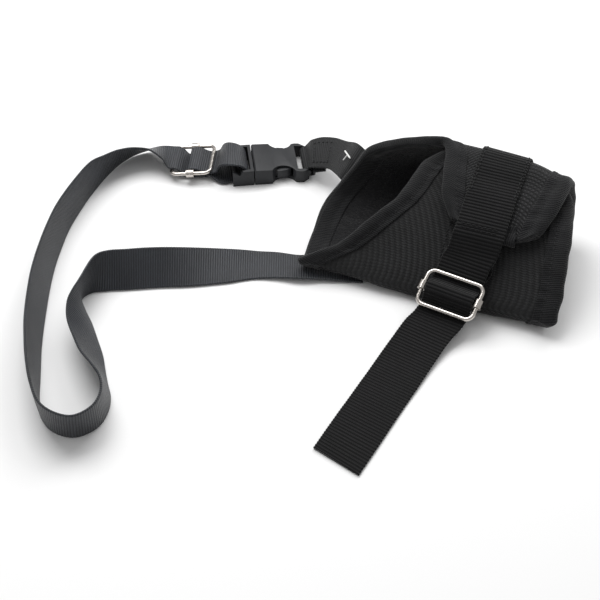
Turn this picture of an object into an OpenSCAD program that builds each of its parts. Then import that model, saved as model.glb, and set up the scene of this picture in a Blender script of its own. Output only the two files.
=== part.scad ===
// Fabric dog muzzle, lying on a table: a padded sleeve for the snout with a hook-and-loop flap,
// a girth strap in a wire slider, and a neck strap with a wire slider and a side-release buckle.
// Millimetres, +Z up, resting on z = 0. X runs to the right and Y away from the viewer.

/* [Sleeve] */
// Thickness of the woven outer fabric
shell_t = 1; // [0.7:0.1:1.2]
// Thickness of the foam interlining
foam_t = 1; // [0.6:0.1:1.2]
// Thickness of the fleece lining
lining_t = 0.7; // [0.5:0.1:0.9]
// Gap between two layers of the wall
layer_gap = 0.15; // [0.1:0.05:0.2]
// Thickness of the edge binding tape
tape_t = 0.8; // [0.6:0.1:0.9]
// Width of the binding on each face
tape_w = 9.5; // [6:0.5:11]
// Gap between the binding and the wall that it wraps
tape_gap = 0.4; // [0.35:0.05:0.5]
// Thickness of each hook-and-loop patch
patch_t = 0.8; // [0.4:0.1:1]

/* [Webbing] */
// Width of the neck webbing
neck_w = 25; // [20:0.5:25]
// Thickness of the neck webbing
neck_t = 1.5; // [1:0.1:1.6]
// Width of the girth webbing
girth_w = 30; // [25:0.5:30.5]
// Thickness of the girth webbing
girth_t = 1.6; // [1.2:0.1:1.7]
// Gap between webbing and what it passes
web_gap = 0.2; // [0.15:0.05:0.3]
// Thickness of a sewing thread
thread = 0.7; // [0.4:0.1:0.9]

/* [Girth slider] */
// Diameter of the frame's wire
girth_wire = 2.6; // [2:0.1:2.8]
// Gap between each edge of the girth webbing and the frame's wire
girth_side_gap = 0.9; // [0.8:0.1:1.6]
// Frame length along the strap, wire centre to wire centre
girth_frame_l = 22; // [21:0.5:24]
// Radius of the frame's corners, at the wire's centre
girth_corner = 4.5; // [3:0.5:6]
// Diameter of the centre bar
girth_bar_d = 3; // [2:0.1:3]

/* [Neck slider] */
// Diameter of the frame's wire
neck_wire = 2.5; // [2:0.1:2.6]
// Gap between each edge of the neck webbing and the frame's wire
neck_side_gap = 1.25; // [0.6:0.05:1.7]
// Frame length along the strap, wire centre to wire centre
neck_frame_l = 26; // [25:0.5:27]
// Radius of the frame's corners, at the wire's centre
neck_corner = 4; // [3:0.5:5]
// Diameter of the centre bar
neck_bar_d = 2.6; // [2:0.1:2.6]

/* [Buckle] */
// Width of the buckle's body
buckle_w = 30; // [29:0.5:32]
// Height of the buckle's body
buckle_h = 11.5; // [11:0.25:13]
// Wall of the housing above and below its hollow
housing_wall = 2.3; // [1.6:0.1:2.6]
// Gap between the plug and the socket at the seam
seam_gap = 0.6; // [0.3:0.1:1]
// Gap round the prongs and the tongue inside the socket
prong_gap = 0.5; // [0.3:0.1:0.8]
// Diameter of the prongs' round roots
root_d = 3.2; // [2.6:0.2:3.6]
// Diameter of the bars that the webbing goes round
web_bar_d = 3.4; // [2.6:0.1:3.6]

/* [Tag pin] */
// Thickness of the plastic tagging pin
tag_d = 1.1; // [0.8:0.1:1.4]
// Length of its crossbar
tag_l = 12; // [8:0.5:14]

/* [Hidden] */
$fn = 32;

// middle of the footprint, in the frame that the routes below are written in
middle = [6, 8.05];
// the sleeve's own frame: A along it, B away from the viewer across it, Z up
sleeve_at = [1.8, 22.8, 0];
sleeve_yaw = -21;
// the girth slider, in the sleeve's frame
slider_at = [92.5, -4.6, 17.8];
slider_turn = [28.5, 0, -8];
// the neck slider and the buckle
neck_slider_at = [-71.5, 130, 6.9];
neck_slider_yaw = -4;
neck_slider_rise = 6;
buckle_at = [-32, 126.5, 0];
buckle_yaw = 7;

// wall of the sleeve, from the outer face inwards
wall = shell_t + foam_t + lining_t + 2 * layer_gap;
foam_at = shell_t + layer_gap;
lining_at = foam_at + foam_t + layer_gap;

// the sleeve's outer face: each row runs from the wide rim to the narrow end, and the rows go
// from the edge under the flap, down the near wall, back along the table, up the far wall and
// over the ridge to the flap's end
sleeve_rows = [
    [[62, 83, 51], [84, 81, 51.5], [106, 80.5, 51.3], [124, 79, 49.4], [139, 77, 45.5]],
    [[54, 73, 49], [76, 72, 49.5], [101, 72, 49.5], [123, 71.5, 48.3], [142, 71, 44.8]],
    [[51, 62, 46.5], [72, 63, 47], [95, 63, 47], [122, 63, 46], [144, 63, 43]],
    [[46, 45, 40], [68, 46, 40.5], [95, 46, 40.5], [122, 46, 40], [147, 46, 39]],
    [[35, 30, 32], [60, 30, 32], [92, 30, 32], [122, 29, 32], [149, 29, 31]],
    [[21, 14, 20.5], [50, 15, 21], [88, 15, 22], [122, 14, 22.5], [151, 14, 21.5]],
    [[9, 5.5, 16.4], [42, 6, 13.5], [84, 6, 14], [120, 5, 15], [151, 5, 15.5]],
    [[-1, 1, 10.3], [38, 2, 7.6], [80, 2, 7.5], [118, 2, 9], [151, 1.5, 9.3]],
    [[-1, 7, 4.5], [36, 6, 3.3], [74, 5.5, 0.6], [108, 5.5, 1], [147, 7, 3.4]],
    [[-3, 28, 7.6], [36, 28, 3.6], [74, 30, -0.4], [106, 30, -0.4], [144, 30, 2.4]],
    [[-2, 54, 17], [38, 58, 6], [74, 58, -0.4], [106, 58, -0.4], [144, 56, 2.4]],
    [[7.5, 70, 34], [44, 84, 12], [78, 82, 2.4], [108, 82, 2.4], [143, 78, 4.4]],
    [[17, 77, 47], [46, 95, 30], [80, 97, 24], [112, 96, 24], [142, 92, 22]],
    [[38, 85, 53], [62, 93, 47], [86, 95, 44], [112, 95, 43], [140, 90, 40]],
    [[62, 83, 59], [76, 83, 59], [94, 83, 58.5], [115, 82, 57.5], [139, 79, 52.5]],
    [[69, 62, 53], [80, 62, 53.5], [95, 62, 53.5], [115, 62, 53], [137, 62, 51.5]],
    [[73, 47, 47], [83, 46, 47], [96, 46, 47], [114, 46, 47], [134, 48, 46.5]],
    [[81, 35, 41], [90, 31.5, 39], [103, 29, 38.5], [118, 29.5, 38.5], [130, 36, 41.5]]
];
row_steps = 2;

// route of the neck strap, from its sewn end under the sleeve to the slider: the foot of the
// webbing, and the direction in which its width leans from there
neck_route = [
    [38, 14, 0.1, 0, 10, 0], [24, 14.5, 1, 0, 10, -0.4], [12, 15, 2, 0, 10, -0.8],
    [1, 14.5, 3, 0, 10, -1.2], [-14, 17, 1.5, 0, 10, -0.5], [-27, 17.5, 0.15, 0, 10, 0.3],
    [-45, 13.5, 0.1, 0, 10, 3], [-64, 11, 0, 0, 9, 5], [-85, 9.8, 0, 0, 8, 7], [-104, 8, 0, 0, 7, 8],
    [-116, 7.2, 0, 0.5, 5.5, 8.6], [-125, 5.5, 0, 1.5, 3, 9.2], [-130, 0, 0, 1.5, -2, 9.6],
    [-127, -9, 0, -1, -2.5, 9.6], [-121, -22, 0, -4.4, -1.5, 8.8], [-116, -35, 0, -5.8, -1, 8],
    [-112, -47, 0, -5.4, -1.6, 8.2], [-109, -59, 0, -4.2, -2, 8.8], [-106.5, -69, 0, -2.4, -2.2, 9.4],
    [-104, -79, 0, -1, -2.2, 9.7], [-104, -88, 0, -0.2, -2.2, 9.8], [-109, -101, 0, 0.5, -2.2, 9.8],
    [-120, -107, 0, 1.1, -2.4, 9.7], [-130, -104, 0, 1.2, -2.6, 9.6], [-138, -95, 0, 0.6, -3, 9.5],
    [-142, -84, 0, -0.2, -2.2, 9.7], [-144.5, -66, 0, -1.5, -1, 9.8], [-148, -38, 0, -2.3, 0, 9.7],
    [-149.5, -12, 0, -2.6, 0, 9.6], [-150.5, 15, 0, -2.1, 0, 9.7], [-149.5, 40, 0, -1.6, 0.2, 9.8],
    [-147, 62, 0, -1.1, 0.2, 9.9], [-142, 84, 0, -0.5, 0, 9.9], [-136, 104, 0, 0.1, -0.8, 9.9],
    [-128, 123, 0, 0, -4, 9], [-120, 137, 0, 0.5, -5.8, 8.1], [-110, 146, 0.5, 0.6, -7.2, 6.9],
    [-102, 149, 1.5, 0.8, -8.1, 5.6], [-94.5, 147.5, 4.5, 1, -9.2, 3]
];

// route of the short strap between the buckle and the far wall
short_route = [
    [7, 116, 10.8, 0.5, 24, 4.5], [12, 113, 13, 2, 23.5, 7.5], [17.5, 108.5, 16, 4.5, 23.5, 8],
    [22.5, 97, 20.5, 9, 21.5, 10.5], [26, 86, 23.5, 13, 13, 16]
];
short_under_route = [[16.5, 111.5, 11.5, 3.5, 23.5, 7.5], [9.5, 115, 7.6, 1.5, 24, 4.5]];

// ---- shapes that repeat ----

function unit(v) = v / norm(v);
function flat_part(v) = norm([v.x, v.y]);

// one point of a smooth curve through p1 and p2
function curve(p0, p1, p2, p3, t) =
    (2 * p1 + (p2 - p0) * t + (2 * p0 - 5 * p1 + 4 * p2 - p3) * t * t
    + (3 * p1 - p0 - 3 * p2 + p3) * t * t * t) / 2;

// the point at parameter s, from 0 to the number of points less 1
function along(pts, s) =
    let (
        last = len(pts) - 1,
        i = min(max(floor(s), 0), last - 1),
        before = i > 0 ? pts[i - 1] : 2 * pts[0] - pts[1],
        after = i + 2 <= last ? pts[i + 2] : 2 * pts[last] - pts[last - 1]
    ) curve(before, pts[i], pts[i + 1], after, s - i);

// the same for rows of webbing, whose feet may lie unevenly along it
function stride(rows, i) =
    norm([for (k = [0:2]) rows[i + 1][k] - rows[i][k]]);
function slope_at(rows, i) =
    i == 0 ? (rows[1] - rows[0]) / stride(rows, 0)
    : i == len(rows) - 1 ? (rows[i] - rows[i - 1]) / stride(rows, i - 1)
    : let (before = stride(rows, i - 1), after = stride(rows, i))
        ((rows[i + 1] - rows[i]) * before / after + (rows[i] - rows[i - 1]) * after / before)
            / (before + after);
function smooth(rows, steps) = [
    for (i = [0:len(rows) - 2])
        let (d = stride(rows, i), m0 = slope_at(rows, i) * d, m1 = slope_at(rows, i + 1) * d)
        for (k = [0:steps - (i < len(rows) - 2 ? 1 : 0)])
            let (t = k / steps)
            rows[i] * (1 + 2 * t) * (1 - t) * (1 - t) + m0 * t * (1 - t) * (1 - t)
                + rows[i + 1] * t * t * (3 - 2 * t) - m1 * t * t * (1 - t)
];

// turns a point by the three angles of rotate()
function turned(p, a) =
    let (
        q = [p.x, p.y * cos(a.x) - p.z * sin(a.x), p.y * sin(a.x) + p.z * cos(a.x)],
        r = [q.x * cos(a.y) + q.z * sin(a.y), q.y, q.z * cos(a.y) - q.x * sin(a.y)]
    ) [r.x * cos(a.z) - r.y * sin(a.z), r.x * sin(a.z) + r.y * cos(a.z), r.z];

// the closed solid between two grids of points, inner and outer, whose rows run the same way
module sheet(inner, outer) {
    rows = len(inner);
    cols = len(inner[0]);
    ring = 2 * cols;
    points = [
        for (i = [0:rows - 1]) each concat(inner[i], [for (j = [cols - 1:-1:0]) outer[i][j]])
    ];
    sides = [
        for (i = [0:rows - 2]) for (j = [0:ring - 1])
            let (a = i * ring + j, b = i * ring + (j + 1) % ring)
            each j < cols
                ? [[a, a + ring, b + ring], [a, b + ring, b]]
                : [[a, a + ring, b], [b, a + ring, b + ring]]
    ];
    far_end = (rows - 1) * ring;
    caps = [
        for (j = [0:cols - 2])
            let (a = j, b = j + 1, c = ring - 2 - j, d = ring - 1 - j)
            each [
                [a, b, c], [a, c, d],
                [far_end + a, far_end + c, far_end + b], [far_end + a, far_end + d, far_end + c]
            ]
    ];
    polyhedron(points, concat(sides, caps));
}

// webbing of a width and thickness along rows of [foot, lean]; the foot lies at an edge's middle
module webbing(rows, width, thick) {
    feet = [for (r = rows) [r[0], r[1], r[2]]];
    leans = [for (r = rows) unit([r[3], r[4], r[5]])];
    mids = [for (i = [0:len(rows) - 1]) feet[i] + leans[i] * width / 2];
    last = len(rows) - 1;
    normals = [
        for (i = [0:last])
            unit(cross(mids[min(i + 1, last)] - mids[max(i - 1, 0)], leans[i]))
    ];
    sheet(
        [for (i = [0:last]) [
            feet[i] - normals[i] * thick / 2, feet[i] + leans[i] * width - normals[i] * thick / 2
        ]],
        [for (i = [0:last]) [
            feet[i] + normals[i] * thick / 2, feet[i] + leans[i] * width + normals[i] * thick / 2
        ]]
    );
}

// puts what follows on a row of webbing: X along it, Y across it and Z out of its upper face
module on_webbing(rows, i, width, thick) {
    lean = unit([rows[i][3], rows[i][4], rows[i][5]]);
    foot = [rows[i][0], rows[i][1], rows[i][2]];
    chord = [for (k = [0:2]) rows[i + 1][k] - rows[i - 1][k]]
        + (unit([for (k = [3:5]) rows[i + 1][k]]) - unit([for (k = [3:5]) rows[i - 1][k]])) * width / 2;
    n = unit(cross(chord, lean));
    ahead = cross(lean, n);
    at = foot + lean * width / 2 + n * thick / 2;
    multmatrix([
        [ahead.x, lean.x, n.x, at.x], [ahead.y, lean.y, n.y, at.y],
        [ahead.z, lean.z, n.z, at.z], [0, 0, 0, 1]
    ]) children();
}

// lifts a row so that webbing that lies on its face stands clear of the table
function lifted(row, thick) =
    let (lean = unit([row[3], row[4], row[5]]))
    [row[0], row[1], row[2] + 0.05 + flat_part(lean) * thick / 2, row[3], row[4], row[5]];

function row_of(foot, lean) = [foot.x, foot.y, foot.z, lean.x, lean.y, lean.z];

// a closed frame of bent wire, flat in XY
module wire_frame(across, length, corner, wire) {
    for (side = [-1, 1]) {
        translate([side * across / 2, 0, 0])
            rotate([90, 0, 0])
                cylinder(d = wire, h = length - 2 * corner, center = true);
        translate([0, side * length / 2, 0])
            rotate([0, 90, 0])
                cylinder(d = wire, h = across - 2 * corner, center = true);
    }
    for (quarter = [0:3])
        let (sx = quarter == 0 || quarter == 3 ? 1 : -1, sy = quarter < 2 ? 1 : -1)
            translate([sx * (across / 2 - corner), sy * (length / 2 - corner), 0])
                rotate([0, 0, 90 * quarter])
                    rotate_extrude(angle = 90)
                        translate([corner, 0])
                            circle(d = wire);
}

// a centre bar along X whose collars slide on the frame's two side rods, clear of the webbing
module slider_bar(across, wire, bar_d, drop, width) {
    collar_d = wire + 2.8;
    collar_l = 5;
    difference() {
        union() {
            translate([0, 0, -drop])
                rotate([0, 90, 0])
                    cylinder(d = bar_d, h = across, center = true);
            difference() {
                for (side = [-1, 1])
                    translate([side * across / 2, 0, 0])
                        rotate([90, 0, 0])
                            cylinder(d = collar_d, h = collar_l, center = true);
                cube([width + 2 * web_gap, collar_l + 2, collar_d + 2], center = true);
            }
        }
        for (side = [-1, 1])
            translate([side * across / 2, 0, 0])
                rotate([90, 0, 0])
                    cylinder(d = wire + 0.3, h = collar_l + 2, center = true);
    }
}

// ---- places ----

module on_table() {
    translate([-middle.x, -middle.y, 0]) children();
}

module in_sleeve() {
    on_table() translate(sleeve_at) rotate([0, 0, sleeve_yaw]) children();
}

module at_girth_slider() {
    in_sleeve() translate(slider_at) rotate(slider_turn) children();
}

module at_neck_slider() {
    on_table() translate(neck_slider_at) rotate([0, -neck_slider_rise, neck_slider_yaw]) children();
}

module at_buckle() {
    on_table() translate(buckle_at) rotate([0, 0, buckle_yaw]) children();
}

function sleeve_to_table(p) = sleeve_at + turned(p, [0, 0, sleeve_yaw]);
function slider_to_sleeve(p) = slider_at + turned(p, slider_turn);
function buckle_to_table(p) = buckle_at + turned(p, [0, 0, buckle_yaw]);
function neck_slider_to_table(p) =
    neck_slider_at + turned(p, [0, -neck_slider_rise, neck_slider_yaw]);

// ---- sleeve ----

row_count = len(sleeve_rows);
column_count = len(sleeve_rows[0]);
function sleeve_row(u) = [
    for (j = [0:column_count - 1]) along([for (r = sleeve_rows) r[j]], u)
];
// the outer face at row u and column v, and the direction out of it
function face(u, v) = along(sleeve_row(u), v);
function outward(u, v) =
    unit(cross(
        face(min(u + 0.25, row_count - 1), v) - face(max(u - 0.25, 0), v),
        face(u, min(v + 0.1, column_count - 1)) - face(u, max(v - 0.1, 0))
    ));
function layer(us, vs, out) = [
    for (u = us) [for (v = vs) face(u, v) + outward(u, v) * out]
];
all_rows = [for (k = [0:(row_count - 1) * row_steps]) k / row_steps];
all_columns = [0, 0.25, 0.5, 1, 1.5, 2, 2.5, 3, 3.5, 3.75, 4];

// one layer of the wall, from a depth below the outer face
module sleeve_layer(depth, thick) {
    sheet(layer(all_rows, all_columns, -depth - thick), layer(all_rows, all_columns, -depth));
}

module sleeve_shell() {
    color("#2b2c2f")
        difference() {
            in_sleeve() sleeve_layer(0, shell_t);
            translate([-300, -300, -20]) cube([600, 600, 20]);
        }
}

module sleeve_foam() {
    color("#4a4a4c") in_sleeve() sleeve_layer(foam_at, foam_t);
}

module sleeve_lining() {
    color("#202124") in_sleeve() sleeve_layer(lining_at, lining_t);
}

// binding tape folded round a rim: columns of the fold, from the outer face round to the inner one
fold_reach = [1, 0.5, 0, 0, 0.5, 1];
module fold_tape(rims) {
    // each rim is [edge point, inward step of the tape's width, outward direction]
    function tape_row(rim, off) = [
        for (k = [0:5])
            let (
                side = k < 3 ? k : 5 - k,
                out = k < 3 ? off : -wall - off,
                beyond = side == 2 ? off : 0
            )
            rim[0][side] + rim[1][side] * out - rim[2] * beyond
    ];
    sheet(
        [for (rim = rims) tape_row(rim, tape_gap)],
        [for (rim = rims) tape_row(rim, tape_gap + tape_t)]
    );
}

// columns under the tape of a rim across the rows, which the rows meet at a slant
rim_slant = 0.85;
function rim_reach(u, at_wide) =
    let (v0 = at_wide ? 0 : column_count - 1, v1 = at_wide ? 1 : column_count - 2)
    tape_w / rim_slant / norm(face(u, v1) - face(u, v0));

// a rim across the rows, at the wide end (v = 0) or the narrow one
function cross_rim(u, at_wide) =
    let (
        v0 = at_wide ? 0 : column_count - 1,
        dir = at_wide ? 1 : -1,
        inward = unit(face(u, v0 + dir * 0.1) - face(u, v0)),
        vs = [for (k = [0:2]) v0 + dir * rim_reach(u, at_wide) * fold_reach[k]]
    )
    [[for (v = vs) face(u, v)], [for (v = vs) outward(u, v)], inward];

// a rim along the rows, at the flap's end (last row) or under the flap (first row)
function end_rim(v, at_flap) =
    let (
        u0 = at_flap ? row_count - 1 : 0,
        dir = at_flap ? -1 : 1,
        span = norm(face(u0 + dir, v) - face(u0, v)),
        inward = unit(face(u0 + dir * 0.2, v) - face(u0, v)),
        us = [for (k = [0:2]) u0 + dir * tape_w * fold_reach[k] / span]
    )
    [[for (u = us) face(u, v)], [for (u = us) outward(u, v)], inward];

module binding_wide_end() {
    color("#35363a")
        in_sleeve()
            fold_tape([for (k = [len(all_rows) - 1:-1:0]) cross_rim(all_rows[k], true)]);
}

module binding_narrow_end() {
    color("#35363a") in_sleeve() fold_tape([for (u = all_rows) cross_rim(u, false)]);
}

// the two tapes across the ends stop short of the rims' own tapes
tape_break = 0.07;
function end_columns(u) =
    let (
        first = rim_reach(u, true) + tape_break,
        last = column_count - 1 - rim_reach(u, false) - tape_break
    ) [for (k = [0:10]) first + (last - first) * k / 10];

module binding_flap() {
    vs = end_columns(row_count - 1);
    color("#35363a") in_sleeve() fold_tape([for (k = [10:-1:0]) end_rim(vs[k], true)]);
}

module binding_inner_edge() {
    color("#35363a") in_sleeve() fold_tape([for (v = end_columns(0)) end_rim(v, false)]);
}

patch_columns = [for (k = [0:8]) 1.35 + 1.7 * k / 8];

module hook_patch() {
    us = [for (k = [0:4]) 14.6 + 1.6 * k / 4];
    color("#141416")
        in_sleeve()
            sheet(
                layer(us, patch_columns, -wall - 2 * layer_gap - patch_t),
                layer(us, patch_columns, -wall - 2 * layer_gap)
            );
}

module loop_patch() {
    us = [for (k = [0:4]) 1.3 + 1.6 * k / 4];
    color("#1b1b1e")
        in_sleeve()
            sheet(
                layer(us, patch_columns, layer_gap),
                layer(us, patch_columns, layer_gap + patch_t)
            );
}

// ---- girth strap and its slider ----

// the slider frame's width, from the middle of its wire to the middle of its wire
girth_frame_w = girth_w + 2 * girth_side_gap + girth_wire;

// heights above the slider's plane at which webbing passes it
bar_drop = 1.6;
under_wire = -girth_wire / 2 - web_gap - girth_t / 2;
anchor_radius = girth_bar_d / 2 + web_gap + girth_t / 2;
over_bar = anchor_radius - bar_drop + girth_t + web_gap;
anchor_under = under_wire - girth_t - 3 * web_gap;

function slider_row(x, y, z, lean = [10, 0, 0]) =
    row_of(slider_to_sleeve([x, y, z]), turned(lean, slider_turn));

// a row of the girth webbing over the outer face of the sleeve, at height h
function column_at(u, a) = lookup(a, [for (j = [0:column_count - 1]) [face(u, j).x, j]]);
function on_face(u, a, h) =
    let (
        left = face(u, column_at(u, a)),
        right = face(u, column_at(u, a + girth_w)),
        n = outward(u, column_at(u, a + girth_w / 2))
    ) row_of([a, left.y, left.z] + n * h, unit([girth_w, right.y - left.y, right.z - left.z]) * 10);

girth_high = 0.6 + girth_t / 2;
girth_over_tape = tape_gap + tape_t + web_gap + girth_t / 2;
half_girth = girth_w / 2;

girth_rows = concat(
    [for (u = [12, 12.5, 13, 13.5, 14, 14.5, 15])
        on_face(u, 99.5 - half_girth, girth_high + max(13.6 - u, 0) * 0.5)],
    [on_face(15.6, 99.3 - half_girth, girth_high + 0.8),
     on_face(16.3, 99 - half_girth, girth_over_tape + 0.4)],
    [[98.8 - half_girth, 27.9, 40.8, 10, -0.1, 0], [98.6 - half_girth, 26, 39.6, 10, -0.1, 0],
     [98.3 - half_girth, 23.4, 36.6, 10, -0.2, 0], [97.8 - half_girth, 19.5, 31.8, 10, -0.4, 0]],
    [slider_row(-half_girth + 0.4, 22.2, -0.7), slider_row(-half_girth + 0.3, 18, under_wire + 0.7)],
    [slider_row(-half_girth + 0.2, 14.5, under_wire), slider_row(-half_girth, 7, under_wire),
     slider_row(-half_girth, 4.4, over_bar - 2.6), slider_row(-half_girth, 2.1, over_bar - 0.2),
     slider_row(-half_girth, 0, over_bar), slider_row(-half_girth, -2.1, over_bar - 0.2),
     slider_row(-half_girth, -4.4, over_bar - 2.6), slider_row(-half_girth, -7, under_wire),
     slider_row(-half_girth - 0.8, -14, under_wire - 0.2)],
    [[86.5 - half_girth, -22, 6.6, 29.4, -5.5, -0.6], [83 - half_girth, -36, 3.6, 29, -6, -0.4],
     [78.5 - half_girth, -62, 1.3, 28.6, -6, 0], [74.5 - half_girth, -88, 1.1, 28, -6.5, 0],
     [71.5 - half_girth, -108, 1.1, 27.8, -7, 0], [69 - half_girth, -126.5, 1.1, 27, -8.5, 0]]
);

module girth_strap() {
    color("#17181a") in_sleeve() webbing(smooth(girth_rows, 2), girth_w, girth_t);
}

// the sewn webbing on the near wall whose end loops round the slider's bar
anchor_rows = concat(
    [for (u = [4.4, 4.75, 5.1]) on_face(u, 96.5 - half_girth, girth_high)],
    [slider_row(-half_girth + 0.1, 15, anchor_under), slider_row(-half_girth, 10, anchor_under - 0.25),
     slider_row(-half_girth, 6.5, anchor_under - 0.15),
     slider_row(-half_girth, 3, -bar_drop - anchor_radius)],
    [for (a = [270:-30:30])
        slider_row(-half_girth, anchor_radius * cos(a), -bar_drop + anchor_radius * sin(a))]
);

module girth_anchor() {
    color("#1d1e20") in_sleeve() webbing(smooth(anchor_rows, 2), girth_w, girth_t);
}

module girth_slider_bar() {
    color("silver")
        at_girth_slider()
            slider_bar(girth_frame_w, girth_wire, girth_bar_d, bar_drop, girth_w);
}

module girth_slider_frame() {
    color("silver") at_girth_slider() wire_frame(girth_frame_w, girth_frame_l, girth_corner, girth_wire);
}

// threads of the seams that hold the girth strap to the flap: two rows along it, one across
module flap_stitching() {
    rows = smooth(girth_rows, 2);
    color("#303134")
        in_sleeve() {
            for (i = [7:14]) on_webbing(rows, i, girth_w, girth_t)
                for (y = [3 - half_girth, half_girth - 3]) stitch(0, y, [2.6, thread]);
            on_webbing(rows, 18, girth_w, girth_t)
                for (y = [5.5 - half_girth:3.2:half_girth - 5]) stitch(0, y, [thread, 2.2]);
        }
}

// a thread lying on webbing
module stitch(x, y, size) {
    translate([x, y, web_gap + thread / 2]) cube([size.x, size.y, thread], center = true);
}

// ---- neck strap and its slider ----

neck_bar_drop = 0.8;
neck_bar_radius = neck_bar_d / 2 + web_gap + neck_t / 2;
over_neck_wire = neck_wire / 2 + web_gap + neck_t / 2;
under_loop = -neck_bar_drop - neck_bar_radius - neck_t - web_gap;
half_neck = neck_w / 2;

function neck_row(x, z) = row_of(
    neck_slider_to_table([x, half_neck, z]), turned([0, -10, 0], [0, -neck_slider_rise, neck_slider_yaw])
);

neck_rows = concat(
    [for (r = neck_route) lifted(r, neck_t)],
    [neck_row(-13, over_neck_wire + 0.3), neck_row(-8.8, 0.4), neck_row(-5, under_loop + 1),
     neck_row(-1, under_loop), neck_row(5, under_loop), neck_row(8, under_loop)]
);

module neck_strap() {
    color("#3c3e42") on_table() webbing(smooth(neck_rows, 2), neck_w, neck_t);
}

// webbing that the neck strap ends in: from the slider round the plug's bar and back to the bar
function plug_row(x, z) = row_of(buckle_to_table([x, half_neck, z]), turned([0, -10, 0], [0, 0, buckle_yaw]));
plug_bar = [-12.2, 6];
loop_bend = web_bar_d / 2 + web_gap + neck_t / 2;

neck_loop_rows = concat(
    [neck_row(8.5, under_loop), neck_row(12, under_loop + 0.2)],
    [plug_row(-22, 1.5), plug_row(-14, 1.6), plug_row(-7, 1.8), plug_row(-4.2, 3.4), plug_row(-3.8, 6),
     plug_row(-4, 9), plug_row(-6.2, 12.4), plug_row(-10, 14.8)],
    [[-46.6, 137.6, 15.6, 0.3, -10, 0]],
    [neck_row(20.2, 3), neck_row(16.4, -1.7), neck_row(13.3, -over_neck_wire - 0.15),
     neck_row(10, -over_neck_wire - 0.1), neck_row(7, -0.9), neck_row(4.5, 0.7)],
    [for (a = [90:30:270])
        neck_row(neck_bar_radius * cos(a), -neck_bar_drop + neck_bar_radius * sin(a))],
    [neck_row(2.8, -neck_bar_drop - neck_bar_radius + 0.25)]
);

module neck_loop() {
    color("#3c3e42") on_table() webbing(smooth(neck_loop_rows, 2), neck_w, neck_t);
}

// the slider frame's width, from the middle of its wire to the middle of its wire
neck_frame_w = neck_w + 2 * neck_side_gap + neck_wire;

module neck_slider_bar() {
    color("silver")
        at_neck_slider()
            rotate([0, 0, 90])
                slider_bar(neck_frame_w, neck_wire, neck_bar_d, neck_bar_drop, neck_w);
}

module neck_slider_frame() {
    color("silver")
        at_neck_slider()
            wire_frame(neck_frame_l, neck_frame_w, neck_corner, neck_wire);
}

// ---- side-release buckle: X along it, from the plug to the socket ----

arm_in = half_neck + 0.3;
half_buckle = buckle_w / 2;
socket_l = 38.5;
band_l = 14;
hollow_z = [housing_wall, buckle_h - housing_wall];
hollow_y = half_buckle - 2.4;
prong_y = 9.6;
prong_w = 2.4;
mouth_y = prong_y + root_d / 2 + prong_gap;
prong_x = 1.2;
prong_z = [hollow_z[0] + prong_gap, hollow_z[1] - prong_gap];
socket_bar = [socket_l - 2, 5.5];

// the buckle's side view: its ends are rounded
module side_profile(x0, x1, end_h) {
    rotate([90, 0, 0])
        linear_extrude(60, center = true)
            polygon([
                [x0, 0.8], [x0 + 0.8, 0], [x1 - 2, 0], [x1, 2], [x1, end_h - 2], [x1 - 2, end_h],
                [x0 + band_l, buckle_h - 0.6], [x0 + 1, buckle_h], [x0, buckle_h - 0.8]
            ]);
}

module buckle_plug() {
    slot = [-10, -2];
    color("#4b4d50")
        at_buckle() {
            difference() {
                translate([-14, -half_buckle, 0]) cube([14, buckle_w, buckle_h]);
                translate([-20, -arm_in, -1]) cube([18, 2 * arm_in, buckle_h + 2]);
                for (side = [-1, 1])
                    translate([prong_x, side * prong_y, prong_z[0] - 0.2])
                        cylinder(d = root_d + 0.4, h = prong_z[1] - prong_z[0] + 0.4);
                translate([-16, -half_buckle - 1, buckle_h + 1])
                    rotate([0, 32, 0])
                        cube([8, buckle_w + 2, 6], center = false);
            }
            // the round bar that the webbing goes round
            translate([plug_bar[0], 0, plug_bar[1]])
                rotate([90, 0, 0])
                    cylinder(d = web_bar_d, h = 2 * arm_in + 1, center = true);
            // the tongue that guides the plug into the socket
            translate([-1, -2.2, prong_z[0]])
                cube([22, 4.4, prong_z[1] - prong_z[0]]);
        }
}

// one prong of the plug, at rest, with its head in the socket's window
module prong(side) {
    at_buckle()
        translate([0, 0, prong_z[0]])
            linear_extrude(prong_z[1] - prong_z[0])
                mirror([0, side < 0 ? 1 : 0]) {
                    translate([prong_x, prong_y]) circle(d = root_d);
                    polygon([
                        [prong_x, prong_y - prong_w / 2], [13, prong_y - 1.6], [18, prong_y - 2],
                        [25.2, prong_y - 1.2], [25.2, prong_y + 0.4], [22, prong_y + 2.8],
                        [18.5, prong_y + 3.5], [15.6, prong_y + 3.5],
                        [15.6, prong_y + prong_w / 2], [prong_x, prong_y + prong_w / 2]
                    ]);
                }
}

module buckle_prong_front() {
    color("#4b4d50") prong(-1);
}

module buckle_prong_back() {
    color("#4b4d50") prong(1);
}

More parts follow.
